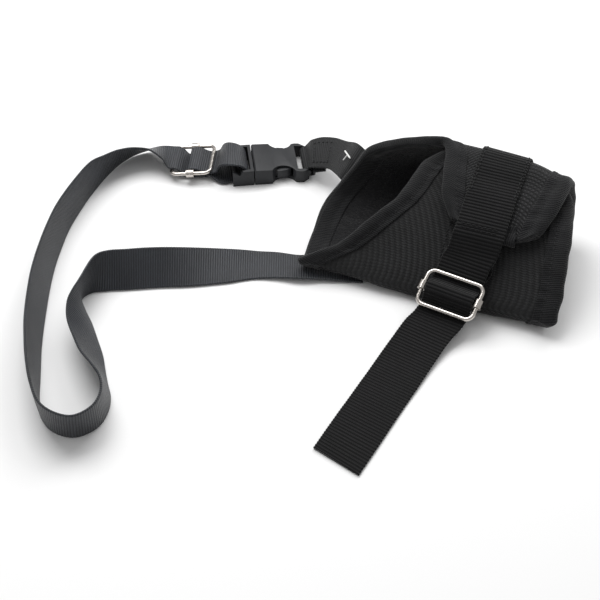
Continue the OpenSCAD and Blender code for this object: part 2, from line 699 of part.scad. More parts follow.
module buckle_socket() {
    flare = half_buckle + 0.8;
    scoop = 8.2;
    color("#4b4d50")
        at_buckle() {
            difference() {
                intersection() {
                    side_profile(seam_gap, socket_l, 8.6);
                    linear_extrude(buckle_h)
                        difference() {
                            polygon([
                                [0, -half_buckle], [band_l, -half_buckle], [band_l, -half_buckle + 0.8],
                                [25, -half_buckle + 0.8], [30, -flare], [33, -flare],
                                [socket_l, -half_buckle + 3.5], [socket_l, half_buckle - 3.5],
                                [33, flare], [30, flare], [25, half_buckle - 0.8],
                                [band_l, half_buckle - 0.8], [band_l, half_buckle], [0, half_buckle]
                            ]);
                            for (side = [-1, 1])
                                translate([20, side * (half_buckle + 2.8)]) circle(r = scoop);
                        }
                }
                // the hollow, its side windows and the webbing's slot
                translate([-1, -mouth_y, hollow_z[0]])
                    cube([20, 2 * mouth_y, hollow_z[1] - hollow_z[0]]);
                translate([15, -hollow_y, hollow_z[0]])
                    cube([11.5, 2 * hollow_y, hollow_z[1] - hollow_z[0]]);
                translate([15, -30, hollow_z[0]])
                    cube([10.5, 60, hollow_z[1] - hollow_z[0]]);
                translate([29.5, -arm_in, -1])
                    cube([socket_l, 2 * arm_in, buckle_h + 2]);
            }
            translate([socket_bar[0], 0, socket_bar[1]])
                rotate([90, 0, 0])
                    cylinder(d = web_bar_d, h = 2 * arm_in + 1, center = true);
        }
}

// ---- short strap and tag ----

function socket_row(x, z) =
    row_of(buckle_to_table([x, -half_neck, z]), turned([0, 10, 0], [0, 0, buckle_yaw]));

sewn_row = 10.95;
// a row of the sewn end, flat against the outer face of the far wall
function far_wall_row(v, h) =
    let (
        n = outward(sewn_row, v),
        across = face(sewn_row + 0.5, v) - face(sewn_row - 0.5, v),
        lean = unit(across - n * (across * n)),
        foot = face(sewn_row, v) + n * h - lean * half_neck
    ) row_of(sleeve_to_table(foot), turned(lean * 10, [0, 0, sleeve_yaw]));

short_over_tape = tape_gap + tape_t + web_gap + neck_t / 2;
short_rows = concat(
    short_under_route,
    [socket_row(socket_bar[0] + 3.4, socket_bar[1] - loop_bend)],
    [for (a = [270:-30:90])
        socket_row(socket_bar[0] + loop_bend * cos(a), socket_bar[1] + loop_bend * sin(a))],
    [socket_row(socket_bar[0] + 1.3, socket_bar[1] + loop_bend + 0.7)],
    short_route,
    [far_wall_row(0.1, short_over_tape + 1.2), far_wall_row(0.25, short_over_tape + 0.6)]
);

module short_strap() {
    color("#222326") on_table() webbing(smooth(short_rows, 2), neck_w, neck_t);
}

// the box of stitches that closes the short strap's loop round the buckle's bar
module short_strap_stitching() {
    rows = smooth(short_rows, 2);
    color("#303134")
        on_table()
            for (k = [0:3]) on_webbing(rows, short_box[k], neck_w, neck_t)
                for (y = [-7.6:3.8:7.6]) stitch(0, y, [1.3, thread]);
}
short_box = [23, 24, 25, 26];

module tag_pin() {
    rows = smooth(short_rows, 2);
    color("white")
        on_table()
            on_webbing(rows, 29, neck_w, neck_t)
                translate([1, 2.6, web_gap + tag_d / 2])
                    rotate([0, 90, -24]) {
                        cylinder(d = tag_d, h = tag_l, center = true, $fn = 16);
                        rotate([90, 0, 0]) cylinder(d = tag_d * 0.6, h = 4.5, $fn = 16);
                    }
}

sleeve_shell();
sleeve_foam();
sleeve_lining();
binding_wide_end();
binding_narrow_end();
binding_flap();
binding_inner_edge();
hook_patch();
loop_patch();
girth_strap();
girth_anchor();
girth_slider_bar();
girth_slider_frame();
flap_stitching();
neck_strap();
neck_loop();
neck_slider_bar();
neck_slider_frame();
buckle_plug();
buckle_prong_front();
buckle_prong_back();
buckle_socket();
short_strap();
short_strap_stitching();
tag_pin();
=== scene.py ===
import math
from functools import lru_cache

import bmesh
import bpy
import numpy as np
from mathutils import Matrix, Vector, noise


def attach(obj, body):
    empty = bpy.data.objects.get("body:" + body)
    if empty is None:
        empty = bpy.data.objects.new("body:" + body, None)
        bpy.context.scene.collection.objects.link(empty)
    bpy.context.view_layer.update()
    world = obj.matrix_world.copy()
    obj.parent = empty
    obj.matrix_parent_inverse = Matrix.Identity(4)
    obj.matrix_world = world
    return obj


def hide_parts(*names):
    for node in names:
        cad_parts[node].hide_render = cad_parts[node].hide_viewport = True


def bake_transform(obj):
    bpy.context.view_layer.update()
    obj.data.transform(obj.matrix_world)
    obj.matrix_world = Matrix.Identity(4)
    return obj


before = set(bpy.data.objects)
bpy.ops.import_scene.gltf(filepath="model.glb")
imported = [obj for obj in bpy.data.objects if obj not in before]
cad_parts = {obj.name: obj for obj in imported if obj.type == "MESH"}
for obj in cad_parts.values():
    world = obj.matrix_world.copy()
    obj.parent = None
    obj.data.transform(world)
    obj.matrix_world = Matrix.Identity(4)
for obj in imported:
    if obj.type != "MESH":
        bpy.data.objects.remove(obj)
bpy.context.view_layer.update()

scene = bpy.context.scene
scene.view_settings.view_transform = "Standard"
scene.view_settings.look = "None"

# ---------------------------------------------------------------- camera
# The view of the photograph: the muzzle lies on its side on a white table and is seen
# from the front at 43 degrees, from about 0.72 m.
aim = Vector((-0.006, -0.00805, 0))
camera_data = bpy.data.cameras.new("photo_camera")
camera_data.lens = 72.6
camera_data.sensor_width = 36
camera_data.clip_start = 0.05
camera = bpy.data.objects.new("photo_camera", camera_data)
camera.location = aim + Vector((0, -0.5266, 0.4910))
camera.rotation_euler = (aim - camera.location).to_track_quat("-Z", "Y").to_euler()
scene.collection.objects.link(camera)
scene.camera = camera

# ---------------------------------------------------------------- sleeve, outer fabric
# A panel of woven nylon, the cover of the padded sleeve. It is cut flat, wrapped once round
# the snout and lapped over itself as a flap; its four edges are bound with tape.
MM = 0.001
sleeve_rows = np.array([
    [[62, 83, 51], [84, 81, 51.5], [106, 80.5, 51.3], [124, 79, 49.4], [139, 77, 45.5]],
    [[54, 73, 49], [76, 72, 49.5], [101, 72, 49.5], [123, 71.5, 48.3], [142, 71, 44.8]],
    [[51, 62, 46.5], [72, 63, 47], [95, 63, 47], [122, 63, 46], [144, 63, 43]],
    [[46, 45, 40], [68, 46, 40.5], [95, 46, 40.5], [122, 46, 40], [147, 46, 39]],
    [[35, 30, 32], [60, 30, 32], [92, 30, 32], [122, 29, 32], [149, 29, 31]],
    [[21, 14, 20.5], [50, 15, 21], [88, 15, 22], [122, 14, 22.5], [151, 14, 21.5]],
    [[9, 5.5, 16.4], [42, 6, 13.5], [84, 6, 14], [120, 5, 15], [151, 5, 15.5]],
    [[-1, 1, 10.3], [38, 2, 7.6], [80, 2, 7.5], [118, 2, 9], [151, 1.5, 9.3]],
    [[-1, 7, 4.5], [36, 6, 3.3], [74, 5.5, 0.6], [108, 5.5, 1], [147, 7, 3.4]],
    [[-3, 28, 7.6], [36, 28, 3.6], [74, 30, -0.4], [106, 30, -0.4], [144, 30, 2.4]],
    [[-2, 54, 17], [38, 58, 6], [74, 58, -0.4], [106, 58, -0.4], [144, 56, 2.4]],
    [[7.5, 70, 34], [44, 84, 12], [78, 82, 2.4], [108, 82, 2.4], [143, 78, 4.4]],
    [[17, 77, 47], [46, 95, 30], [80, 97, 24], [112, 96, 24], [142, 92, 22]],
    [[38, 85, 53], [62, 93, 47], [86, 95, 44], [112, 95, 43], [140, 90, 40]],
    [[62, 83, 59], [76, 83, 59], [94, 83, 58.5], [115, 82, 57.5], [139, 79, 52.5]],
    [[69, 62, 53], [80, 62, 53.5], [95, 62, 53.5], [115, 62, 53], [137, 62, 51.5]],
    [[73, 47, 47], [83, 46, 47], [96, 46, 47], [114, 46, 47], [134, 48, 46.5]],
    [[81, 35, 41], [90, 31.5, 39], [103, 29, 38.5], [118, 29.5, 38.5], [130, 36, 41.5]],
], float)
last_row, last_column = 17, 4
shell_t, foam_t, lining_t, layer_gap = 1.0, 1.0, 0.7, 0.15
wall = shell_t + foam_t + lining_t + 2 * layer_gap
tape_w = 9.5
middle = np.array([6, 8.05, 0])
sleeve_at, sleeve_yaw = np.array([1.8, 22.8, 0]), -21


def unit(v):
    return v / np.linalg.norm(v)


def turned(p, degrees):
    """A point turned about X, then Y, then Z."""
    ax, ay, az = (math.radians(d) for d in degrees)
    x, y, z = p
    y, z = y * math.cos(ax) - z * math.sin(ax), y * math.sin(ax) + z * math.cos(ax)
    x, z = x * math.cos(ay) + z * math.sin(ay), z * math.cos(ay) - x * math.sin(ay)
    return np.array([x * math.cos(az) - y * math.sin(az), x * math.sin(az) + y * math.cos(az), z])


def table_to_part(p):
    return np.asarray(p, float) - middle


def sleeve_to_part(p):
    return table_to_part(sleeve_at + turned(p, (0, 0, sleeve_yaw)))


def along(points, s):
    """The point at s, from 0 to the number of points less 1, on a smooth curve through them."""
    last = len(points) - 1
    i = min(max(int(math.floor(s)), 0), last - 1)
    p1, p2, t = points[i], points[i + 1], s - i
    p0 = points[i - 1] if i > 0 else 2 * points[0] - points[1]
    p3 = points[i + 2] if i + 2 <= last else 2 * points[last] - points[last - 1]
    return (2 * p1 + (p2 - p0) * t + (2 * p0 - 5 * p1 + 4 * p2 - p3) * t * t
            + (3 * p1 - p0 - 3 * p2 + p3) * t ** 3) / 2


@lru_cache(maxsize=None)
def sleeve_row(u):
    return along(sleeve_rows, u)


@lru_cache(maxsize=None)
def face(u, v):
    return along(sleeve_row(u), v)


@lru_cache(maxsize=None)
def outward(u, v):
    round_it = face(min(u + 0.25, last_row), v) - face(max(u - 0.25, 0), v)
    along_it = face(u, min(v + 0.1, last_column)) - face(u, max(v - 0.1, 0))
    return unit(np.cross(round_it, along_it))


@lru_cache(maxsize=None)
def slack(u, v):
    """How far the sewn panel stands off its smooth shape: soft dents, and puckers at the tapes."""
    p = face(u, v)
    soft = noise.noise(Vector(p * 0.045)) * 0.5 + noise.noise(Vector(p * 0.11)) * 0.22
    row = sleeve_row(u)
    from_rim = min(v * np.linalg.norm(row[1] - row[0]), (4 - v) * np.linalg.norm(row[4] - row[3]))
    at_tape = math.exp(-abs(from_rim - tape_w) / 5)
    pucker = 0.26 * math.sin(u * 9.3 + 2 * noise.noise(Vector((u, v, 3)))) * at_tape
    return soft + pucker


def wall_point(u, v, out):
    """A point of the wall, out from the panel's outer face, in the part's frame."""
    p = sleeve_to_part(face(u, v) + outward(u, v) * (out + slack(u, v)))
    if p[2] < 0.06 - min(out, 0):
        p[2] = 0.06 - min(out, 0)
    return p


def closed_sheet(name, rows, columns, point, uv, smooth=True):
    """A closed mesh whose section is a ring: point(i, j) for rows i and ring places j."""
    bm = bmesh.new()
    layer = bm.loops.layers.uv.new("UVMap")
    bmesh.ops.create_grid(bm, x_segments=rows - 1, y_segments=columns, size=0.5)
    places = {}
    for vert in bm.verts:
        i = round((vert.co.x + 0.5) * (rows - 1))
        j = round((vert.co.y + 0.5) * columns)
        places[vert] = (i, j)
    for patch in bm.faces:
        for corner in patch.loops:
            corner[layer].uv = uv(*places[corner.vert])
    for vert, (i, j) in places.items():
        vert.co = Vector(point(i, j % columns)) * MM
    bmesh.ops.remove_doubles(bm, verts=bm.verts[:], dist=1e-7)
    bmesh.ops.holes_fill(bm, edges=bm.edges[:], sides=0)
    bmesh.ops.recalc_face_normals(bm, faces=bm.faces[:])
    return as_object(name, bm, smooth)


def as_object(name, bm, smooth=True):
    mesh = bpy.data.meshes.new(name)
    bm.to_mesh(mesh)
    bm.free()
    for polygon in mesh.polygons:
        polygon.use_smooth = smooth
    obj = bpy.data.objects.new(name, mesh)
    scene.collection.objects.link(obj)
    return obj


def sleeve_layer(name, depth, thick, us, vs, fuzz=0.0):
    """One layer of the panel, from a depth under its outer face."""
    count = len(vs)
    round_at = [[0.0] * count for _ in us]
    for i in range(1, len(us)):
        for j, v in enumerate(vs):
            round_at[i][j] = round_at[i - 1][j] + np.linalg.norm(face(us[i], v) - face(us[i - 1], v))
    across_at = [[0.0] * count for _ in us]
    for i, u in enumerate(us):
        for j in range(1, count):
            across_at[i][j] = across_at[i][j - 1] + np.linalg.norm(face(u, vs[j]) - face(u, vs[j - 1]))

    def point(i, j):
        k = j if j < count else 2 * count - 1 - j
        out = -depth if j < count else -depth - thick
        if fuzz and j >= count:
            out -= fuzz * (0.5 + noise.noise(Vector(face(us[i], vs[k]) * 0.9)))
        return wall_point(us[i], vs[k], out)

    def uv(i, j):
        j %= 2 * count
        k = j if j < count else 2 * count - 1 - j
        return round_at[i][k] * MM, across_at[i][k] * MM

    return closed_sheet(name, len(us), 2 * count, point, uv)


def steps(first, last, count):
    return [first + (last - first) * k / count for k in range(count + 1)]


sleeve_cover = sleeve_layer("sleeve_cover", 0, shell_t, steps(0, 17, 170), steps(0, 4, 64))


def calc(tree, operation, *values):
    """A Math node whose inputs are numbers or other nodes' sockets."""
    node = tree.nodes.new("ShaderNodeMath")
    node.operation = operation
    for socket, value in zip(node.inputs, values):
        if isinstance(value, (int, float)):
            socket.default_value = value
        else:
            tree.links.new(value, socket)
    return node.outputs[0]


def texture(tree, kind, place, **settings):
    """A texture node with its settings, reading its place from a socket."""
    node = tree.nodes.new("ShaderNodeTex" + kind)
    for label, value in settings.items():
        node.inputs[label].default_value = value
    tree.links.new(place, node.inputs["Vector"])
    return node


def new_group(name, takes, gives):
    tree = bpy.data.node_groups.new(name, "ShaderNodeTree")
    for kind, label, value in takes:
        socket = tree.interface.new_socket(name=label, in_out="INPUT", socket_type=kind)
        if value is not None:
            socket.default_value = value
    for kind, label in gives:
        tree.interface.new_socket(name=label, in_out="OUTPUT", socket_type=kind)
    return tree, tree.nodes.new("NodeGroupInput"), tree.nodes.new("NodeGroupOutput")


# threads over and under each other: ribs one way, floats the other, stepped by a slant, with painted shade in
# the gaps between them
weave, weave_in, weave_out = new_group(
    "woven_threads",
    [("NodeSocketVector", "Place", None), ("NodeSocketFloat", "Rib pitch", 0.0014),
     ("NodeSocketFloat", "Float pitch", 0.0012), ("NodeSocketFloat", "Slant", 0.5),
     ("NodeSocketFloat", "Unevenness", 0.12), ("NodeSocketFloat", "Float depth", 0.45)],
    [("NodeSocketFloat", "Height"), ("NodeSocketFloat", "Thread tone and gap shade")])
split = weave.nodes.new("ShaderNodeSeparateXYZ")
weave.links.new(weave_in.outputs["Place"], split.inputs[0])
wander = texture(weave, "Noise", weave_in.outputs["Place"], Scale=260, Detail=3)
off_line = calc(weave, "SUBTRACT", wander.outputs["Fac"], 0.5)
drift = calc(weave, "MULTIPLY", off_line, weave_in.outputs["Unevenness"])
ribs_on = calc(weave, "DIVIDE", split.outputs[0], weave_in.outputs["Rib pitch"])
across_ribs = calc(weave, "ADD", ribs_on, drift)
across_floats = calc(weave, "DIVIDE", split.outputs[1], weave_in.outputs["Float pitch"])
stepped = calc(weave, "ADD", across_ribs, calc(weave, "MULTIPLY", across_floats, weave_in.outputs["Slant"]))


def thread_wave(threads):
    """Rises and falls between 0 and 1, once for each thread."""
    wave = calc(weave, "COSINE", calc(weave, "MULTIPLY", threads, 2 * math.pi))
    return calc(weave, "ADD", calc(weave, "MULTIPLY", wave, 0.5), 0.5)


rib = thread_wave(stepped)
offset = calc(weave, "MULTIPLY", calc(weave, "FLOOR", stepped), 0.5)
floats = thread_wave(calc(weave, "ADD", across_floats, offset))
fibre = texture(weave, "Noise", weave_in.outputs["Place"], Scale=5200, Detail=2)
sunk = calc(weave, "MULTIPLY", calc(weave, "SUBTRACT", 1, floats), weave_in.outputs["Float depth"])
body = calc(weave, "MULTIPLY", calc(weave, "POWER", rib, 0.6), calc(weave, "SUBTRACT", 1, sunk))
height = calc(weave, "ADD", body, calc(weave, "MULTIPLY", fibre.outputs["Fac"], 0.18))
weave.links.new(height, weave_out.inputs["Height"])
# the colour output: the threads' height as painted shade, dark in the gaps and the sunk floats, light on the
# thread tops, times a random tone along the threads
thread_tone = calc(weave, "ADD", calc(weave, "MULTIPLY", wander.outputs["Fac"], 0.8), 0.6)
weave.links.new(calc(weave, "MULTIPLY", body, thread_tone), weave_out.inputs["Thread tone and gap shade"])

# lint and handling: pale specks and soft cloudy patches that no real black cloth is without
lint, lint_in, lint_out = new_group(
    "lint_and_handling",
    [("NodeSocketColor", "Cloth", (0.01, 0.01, 0.01, 1)), ("NodeSocketFloat", "Amount", 0.5)],
    [("NodeSocketColor", "Color"), ("NodeSocketFloat", "Cloud")])
place = lint.nodes.new("ShaderNodeTexCoord")
cloud = texture(lint, "Noise", place.outputs["Object"], Scale=38, Detail=5)
specks = texture(lint, "Noise", place.outputs["Object"], Scale=900, Detail=1)
dots = lint.nodes.new("ShaderNodeMapRange")
dots.inputs["From Min"].default_value = 0.72
dots.inputs["From Max"].default_value = 0.82
lint.links.new(specks.outputs["Fac"], dots.inputs["Value"])
pale = lint.nodes.new("ShaderNodeMix")
pale.data_type = "RGBA"
pale.blend_type = "ADD"
pale.inputs[7].default_value = (0.05, 0.05, 0.052, 1)
lint.links.new(calc(lint, "MULTIPLY", dots.outputs[0], lint_in.outputs["Amount"]), pale.inputs[0])
shade = lint.nodes.new("ShaderNodeMix")
shade.data_type = "RGBA"
shade.blend_type = "MULTIPLY"
shade.inputs[0].default_value = 1
tone = lint.nodes.new("ShaderNodeMapRange")
tone.inputs["From Min"].default_value = 0.3
tone.inputs["From Max"].default_value = 0.7
tone.inputs["To Min"].default_value = 0.72
tone.inputs["To Max"].default_value = 1.28
lint.links.new(cloud.outputs["Fac"], tone.inputs["Value"])
lint.links.new(lint_in.outputs["Cloth"], shade.inputs[6])
lint.links.new(tone.outputs[0], shade.inputs[7])
lint.links.new(shade.outputs[2], pale.inputs[6])
lint.links.new(pale.outputs[2], lint_out.inputs["Color"])
lint.links.new(cloud.outputs["Fac"], lint_out.inputs["Cloud"])


def place_group(tree, group, **values):
    node = tree.nodes.new("ShaderNodeGroup")
    node.node_tree = group
    for label, value in values.items():
        socket = node.inputs[label.replace("_", " ")]
        if isinstance(value, bpy.types.NodeSocket):
            tree.links.new(value, socket)
        else:
            socket.default_value = value
    return node


def new_material(name, roughness, sheen=0.0, specular=0.5, metallic=0.0, sheen_tint=(1, 1, 1)):
    """A material with its Principled shader, whose plain values are set on the shader itself."""
    material = bpy.data.materials.new(name)
    material.use_nodes = True
    shader = material.node_tree.nodes["Principled BSDF"]
    shader.inputs["Roughness"].default_value = roughness
    shader.inputs["Metallic"].default_value = metallic
    shader.inputs["Specular IOR Level"].default_value = specular
    shader.inputs["Sheen Weight"].default_value = sheen
    shader.inputs["Sheen Roughness"].default_value = 0.45
    shader.inputs["Sheen Tint"].default_value = (*sheen_tint, 1)
    return material, material.node_tree, shader


def blend_colors(tree, mask, dark, light):
    mix = tree.nodes.new("ShaderNodeMix")
    mix.data_type = "RGBA"
    mix.inputs[6].default_value = (*dark, 1)
    mix.inputs[7].default_value = (*light, 1)
    tree.links.new(mask, mix.inputs[0])
    return mix.outputs[2]


def add_bump(tree, shader, height, distance, strength=1.0):
    bump = tree.nodes.new("ShaderNodeBump")
    bump.inputs["Distance"].default_value = distance
    bump.inputs["Strength"].default_value = strength
    tree.links.new(height, bump.inputs["Height"])
    tree.links.new(bump.outputs[0], shader.inputs["Normal"])
    return bump


def cloth_material(name, dark, light, rib_pitch, float_pitch, slant, depth, roughness, sheen,
                   specular=0.4, amount=0.4, unevenness=0.12, float_depth=0.45, sheen_tint=(1, 1, 1)):
    """Woven cloth: threads from the piece's own UV map with painted shade in their gaps, lint and clouds over
    it.
    """
    material, tree, shader = new_material(name, roughness, sheen, specular, sheen_tint=sheen_tint)
    uv = tree.nodes.new("ShaderNodeUVMap")
    uv.uv_map = "UVMap"
    threads = place_group(tree, weave, Place=uv.outputs[0], Rib_pitch=rib_pitch, Float_pitch=float_pitch,
                          Slant=slant, Unevenness=unevenness, Float_depth=float_depth)
    # dark to light by the threads' height: painted shade in the gaps, lighter thread tops
    cloth = blend_colors(tree, threads.outputs["Thread tone and gap shade"], dark, light)
    worn = place_group(tree, lint, Cloth=cloth, Amount=amount)
    tree.links.new(worn.outputs["Color"], shader.inputs["Base Color"])
    gloss = tree.nodes.new("ShaderNodeMapRange")
    gloss.inputs["To Min"].default_value = roughness + 0.12
    gloss.inputs["To Max"].default_value = roughness - 0.12
    tree.links.new(threads.outputs["Thread tone and gap shade"], gloss.inputs["Value"])
    tree.links.new(gloss.outputs[0], shader.inputs["Roughness"])
    add_bump(tree, shader, threads.outputs["Height"], depth)
    return material


# dark and light colours: painted shade in the weave's gaps and the lighter thread tops
outer_cloth = cloth_material("outer_cloth", (0.0026, 0.0027, 0.0029), (0.0135, 0.014, 0.0150),
                             0.0019, 0.0021, 1.0, 0.00045, 0.58, 0.1, 0.2, 0.25, 0.1, 0.85)
sleeve_cover.data.materials.append(outer_cloth)
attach(sleeve_cover, "muzzle")
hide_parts("sleeve_shell")

# ---------------------------------------------------------------- sleeve, foam and lining
# Under the cover lie a thin sheet of foam, which gives the sleeve its body, and a brushed
# fleece against the dog's coat. Both are cut to the cover's outline and caught in the tapes.
foam_at = shell_t + layer_gap
lining_at = foam_at + foam_t + layer_gap
foam_pad = sleeve_layer("foam_pad", foam_at, foam_t, steps(0, 17, 68), steps(0, 4, 24))
foam_material, foam_tree, foam_shader = new_material("open_foam", 0.9, 0.1, 0.2)
foam_place = foam_tree.nodes.new("ShaderNodeTexCoord")
cells = texture(foam_tree, "Voronoi", foam_place.outputs["Object"], Scale=2200)
foam_color = blend_colors(foam_tree, cells.outputs["Distance"], (0.02, 0.02, 0.021), (0.06, 0.06, 0.062))
foam_tree.links.new(foam_color, foam_shader.inputs["Base Color"])
add_bump(foam_tree, foam_shader, cells.outputs["Distance"], 0.0003)
foam_pad.data.materials.append(foam_material)
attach(foam_pad, "muzzle")
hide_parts("sleeve_foam")

fleece_lining = sleeve_layer("fleece_lining", lining_at, lining_t, steps(0, 17, 204), steps(0, 4, 72),
                             fuzz=0.5)
fleece, fleece_tree, fleece_shader = new_material("brushed_fleece", 0.95, 0.2, 0.1)
fleece_place = fleece_tree.nodes.new("ShaderNodeTexCoord")
tufts = texture(fleece_tree, "Noise", fleece_place.outputs["Object"],
                Scale=620, Detail=6, Roughness=0.7, Distortion=1.2)
nap = texture(fleece_tree, "Noise", fleece_place.outputs["Object"], Scale=110, Detail=3)
pile = calc(fleece_tree, "ADD", tufts.outputs["Fac"], calc(fleece_tree, "MULTIPLY", nap.outputs["Fac"], 0.7))
fleece_color = blend_colors(fleece_tree, tufts.outputs["Fac"], (0.0035, 0.0035, 0.0038),
                            (0.021, 0.021, 0.0225))
fleece_worn = place_group(fleece_tree, lint, Cloth=fleece_color, Amount=0.8)
fleece_tree.links.new(fleece_worn.outputs["Color"], fleece_shader.inputs["Base Color"])
add_bump(fleece_tree, fleece_shader, pile, 0.0011)
fleece_lining.data.materials.append(fleece)
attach(fleece_lining, "muzzle")
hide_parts("sleeve_lining")

# ---------------------------------------------------------------- hook and loop patches
# The flap closes with a patch of hook tape sewn under it and a patch of loop tape on the
# wall below. Both are hidden while the flap is shut.


def patch(name, first_u, under):
    us = steps(first_u, first_u + 1.6, 12)
    vs = steps(1.35, 3.05, 24)

    def point(i, j):
        k = j if j < 25 else 49 - j
        low = -wall - 2 * layer_gap - 0.8 if under else layer_gap
        return wall_point(us[i], vs[k], low + 0.8 if j < 25 else low)

    def uv(i, j):
        j %= 50
        return i * 0.0016, (j if j < 25 else 49 - j) * 0.002

    return closed_sheet(name, 13, 50, point, uv)


hook_patch = patch("hook_patch_tape", 14.6, True)
loop_patch = patch("loop_patch_tape", 1.3, False)
hook_patch.data.materials.append(cloth_material(
    "hook_tape", (0.004, 0.004, 0.0042), (0.03, 0.03, 0.032), 0.0013, 0.0013, 0.0, 0.0006, 0.4, 0, 0.5, 0.2))
loop_patch.data.materials.append(cloth_material(
    "loop_tape", (0.006, 0.006, 0.0065), (0.02, 0.02, 0.022), 0.0007, 0.0009, 0.3, 0.0004, 0.9, 0.4,
    0.2, 0.7, 0.5))
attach(hook_patch, "muzzle")
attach(loop_patch, "muzzle")
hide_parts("hook_patch")
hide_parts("loop_patch")

# ---------------------------------------------------------------- binding tapes
# Knitted tape, folded over each raw edge of the panel and sewn through with one row of
# stitches. It is soft, so it rolls full over the edge and dips along its stitches.
tape_gap, tape_t = 0.4, 0.8
flat_reach = [1, 0.96, 0.88, 0.8, 0.72, 0.6, 0.45, 0.3, 0.15, 0]
turn_angles = [70, 50, 30, 10, -10, -30, -50, -70]


def rim_reach(u, at_wide):
    row = sleeve_row(u)
    return tape_w / 0.85 / np.linalg.norm(row[1] - row[0] if at_wide else row[3] - row[4])


def cross_station(u, at_wide):
    """Where a tape over the wide or the narrow rim lies at row u: its face points and edge."""
    v0, step = (0, 1) if at_wide else (last_column, -1)
    inward = unit(face(u, v0 + step * 0.1) - face(u, v0))
    reach = rim_reach(u, at_wide)
    return [(u, v0 + step * reach * r) for r in flat_reach], inward


def end_station(v, at_flap):
    """The same for a tape over the flap's end, or over the panel's end under the flap."""
    u0, step = (last_row, -1) if at_flap else (0, 1)
    span = np.linalg.norm(face(u0 + step, v) - face(u0, v))
    inward = unit(face(u0 + step * 0.2, v) - face(u0, v))
    return [(u0 + step * tape_w * r / span, v) for r in flat_reach], inward


# how far the tape stands off its flat fold: a thin hem, a dip at the stitches, a full roll
hem_to_roll = [-0.42, -0.38, -0.36, -0.4, -0.5, -0.48, 0.3, 0.75, 0.9, 0.65]


def tape(name, stations, run, fullness):
    """Tape folded over the edge at these stations. run is how far along it each one is, and
    fullness how freely it rolls there: 0 where webbing or the table presses it flat."""
    flat, turn = len(flat_reach), len(turn_angles)
    side = 2 * flat + turn

    def layer_point(i, k, off, beyond):
        spots, inward = stations[i]
        dip = 0
        if off > 1:
            at = k if k < flat else side - 1 - k if k >= flat + turn else flat - 1
            dip = hem_to_roll[at] * (fullness[i] if hem_to_roll[at] > 0 else 1)
            uncovered = name == "flap_end_tape" or not 3.5 < spots[-1][0] < 13.5
            if k >= flat and hem_to_roll[at] > 0 and uncovered:
                dip *= 0.3
            if 3 <= at <= 5:
                dip += 0.1 * math.sin(run[i] * 2 * math.pi / 3.1)
            if at > 5:
                dip += 0.34 * fullness[i] * noise.noise(Vector((run[i] * 0.13, at * 0.4, 5)))
        if k < flat:
            u, v = spots[k]
            return wall_point(u, v, off + dip)
        if k >= flat + turn:
            u, v = spots[side - 1 - k]
            return wall_point(u, v, -wall - off - dip)
        u, v = spots[-1]
        angle = math.radians(turn_angles[k - flat])
        out = outward(u, v)
        p = face(u, v) + out * (slack(u, v) - wall / 2 + (wall / 2 + off + dip) * math.sin(angle))
        p = sleeve_to_part(p - inward * beyond * math.cos(angle))
        p[2] = max(p[2], 0.06)
        return p

    def point(i, j):
        if j < side:
            wave = 0.5 * noise.noise(Vector((run[i] * 0.12, 7, 0)))
            return layer_point(i, j, tape_gap + tape_t, 1.8 + (1.1 + wave) * fullness[i])
        return layer_point(i, 2 * side - 1 - j, tape_gap, 0.7)

    places = [tape_w * (1 - r) for r in flat_reach]
    places += [tape_w + 0.5 * (k + 1) for k in range(turn)]
    places += [places[-1] + 0.5 + tape_w * (1 - r) for r in reversed(flat_reach)]

    def uv(i, j):
        j %= 2 * side
        return run[i] * MM, places[j if j < side else 2 * side - 1 - j] * MM

    return closed_sheet(name, len(stations), 2 * side, point, uv)


def run_along(points):
    run = [0.0]
    for before, after in zip(points, points[1:]):
        run.append(run[-1] + np.linalg.norm(after - before))
    return run


def add_threads(name, seats, length, width, height, body, replaced=(), material=None):
    """Stitches, each a small bead of thread; a seat is its middle, its way along and its way up."""
    bm = bmesh.new()
    for middle_of, ahead, up in seats:
        side = np.cross(up, ahead)
        turn = Matrix((ahead, side, up)).transposed().to_4x4()
        size = Matrix.Diagonal((length * MM, width * MM, height * MM, 1))
        bmesh.ops.create_uvsphere(bm, u_segments=8, v_segments=5, radius=0.5,
                                  matrix=Matrix.Translation(Vector(middle_of) * MM) @ turn @ size)
    threads = as_object(name, bm)
    threads.data.materials.append(material)
    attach(threads, body)
    if replaced:
        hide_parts(*replaced)
    return threads


thread_material, thread_tree, thread_shader = new_material("sewing_thread", 0.55, 0.05, 0.3)
thread_place = thread_tree.nodes.new("ShaderNodeTexCoord")
twist = thread_tree.nodes.new("ShaderNodeTexWave")
twist.inputs["Scale"].default_value = 900
twist.inputs["Distortion"].default_value = 1.5
thread_tree.links.new(thread_place.outputs["Object"], twist.inputs["Vector"])
thread_color = place_group(thread_tree, lint, Amount=0.4, Cloth=blend_colors(
    thread_tree, twist.outputs["Fac"], (0.003, 0.003, 0.0033), (0.014, 0.014, 0.0155)))
thread_tree.links.new(thread_color.outputs["Color"], thread_shader.inputs["Base Color"])
add_bump(thread_tree, thread_shader, twist.outputs["Fac"], 0.00012)

binding_knit = cloth_material("binding_knit", (0.0042, 0.0043, 0.0046), (0.0155, 0.0158, 0.017),
                              0.0013, 0.0010, 0.25, 0.0003, 0.8, 0.16, 0.15, 0.6, 0.3)


def tape_stitches(stations, run, seam=3.1):
    """Seats for one row of stitches down the outer side of a tape."""
    seats = []
    place = seam
    while place < run[-1] - 2:
        i = min(max(int(np.searchsorted(run, place)), 1), len(run) - 2)
        u, v = stations[i][0][5]
        here = wall_point(u, v, tape_gap + tape_t - 0.38)
        ahead_u, ahead_v = stations[i + 1][0][5]
        back_u, back_v = stations[i - 1][0][5]
        ahead = unit(wall_point(ahead_u, ahead_v, 1) - wall_point(back_u, back_v, 1))
        up = unit(turned(outward(u, v), (0, 0, sleeve_yaw)))
        up = unit(up - ahead * np.dot(up, ahead))
        seats.append((here, ahead, up))
        place += seam
    return seats


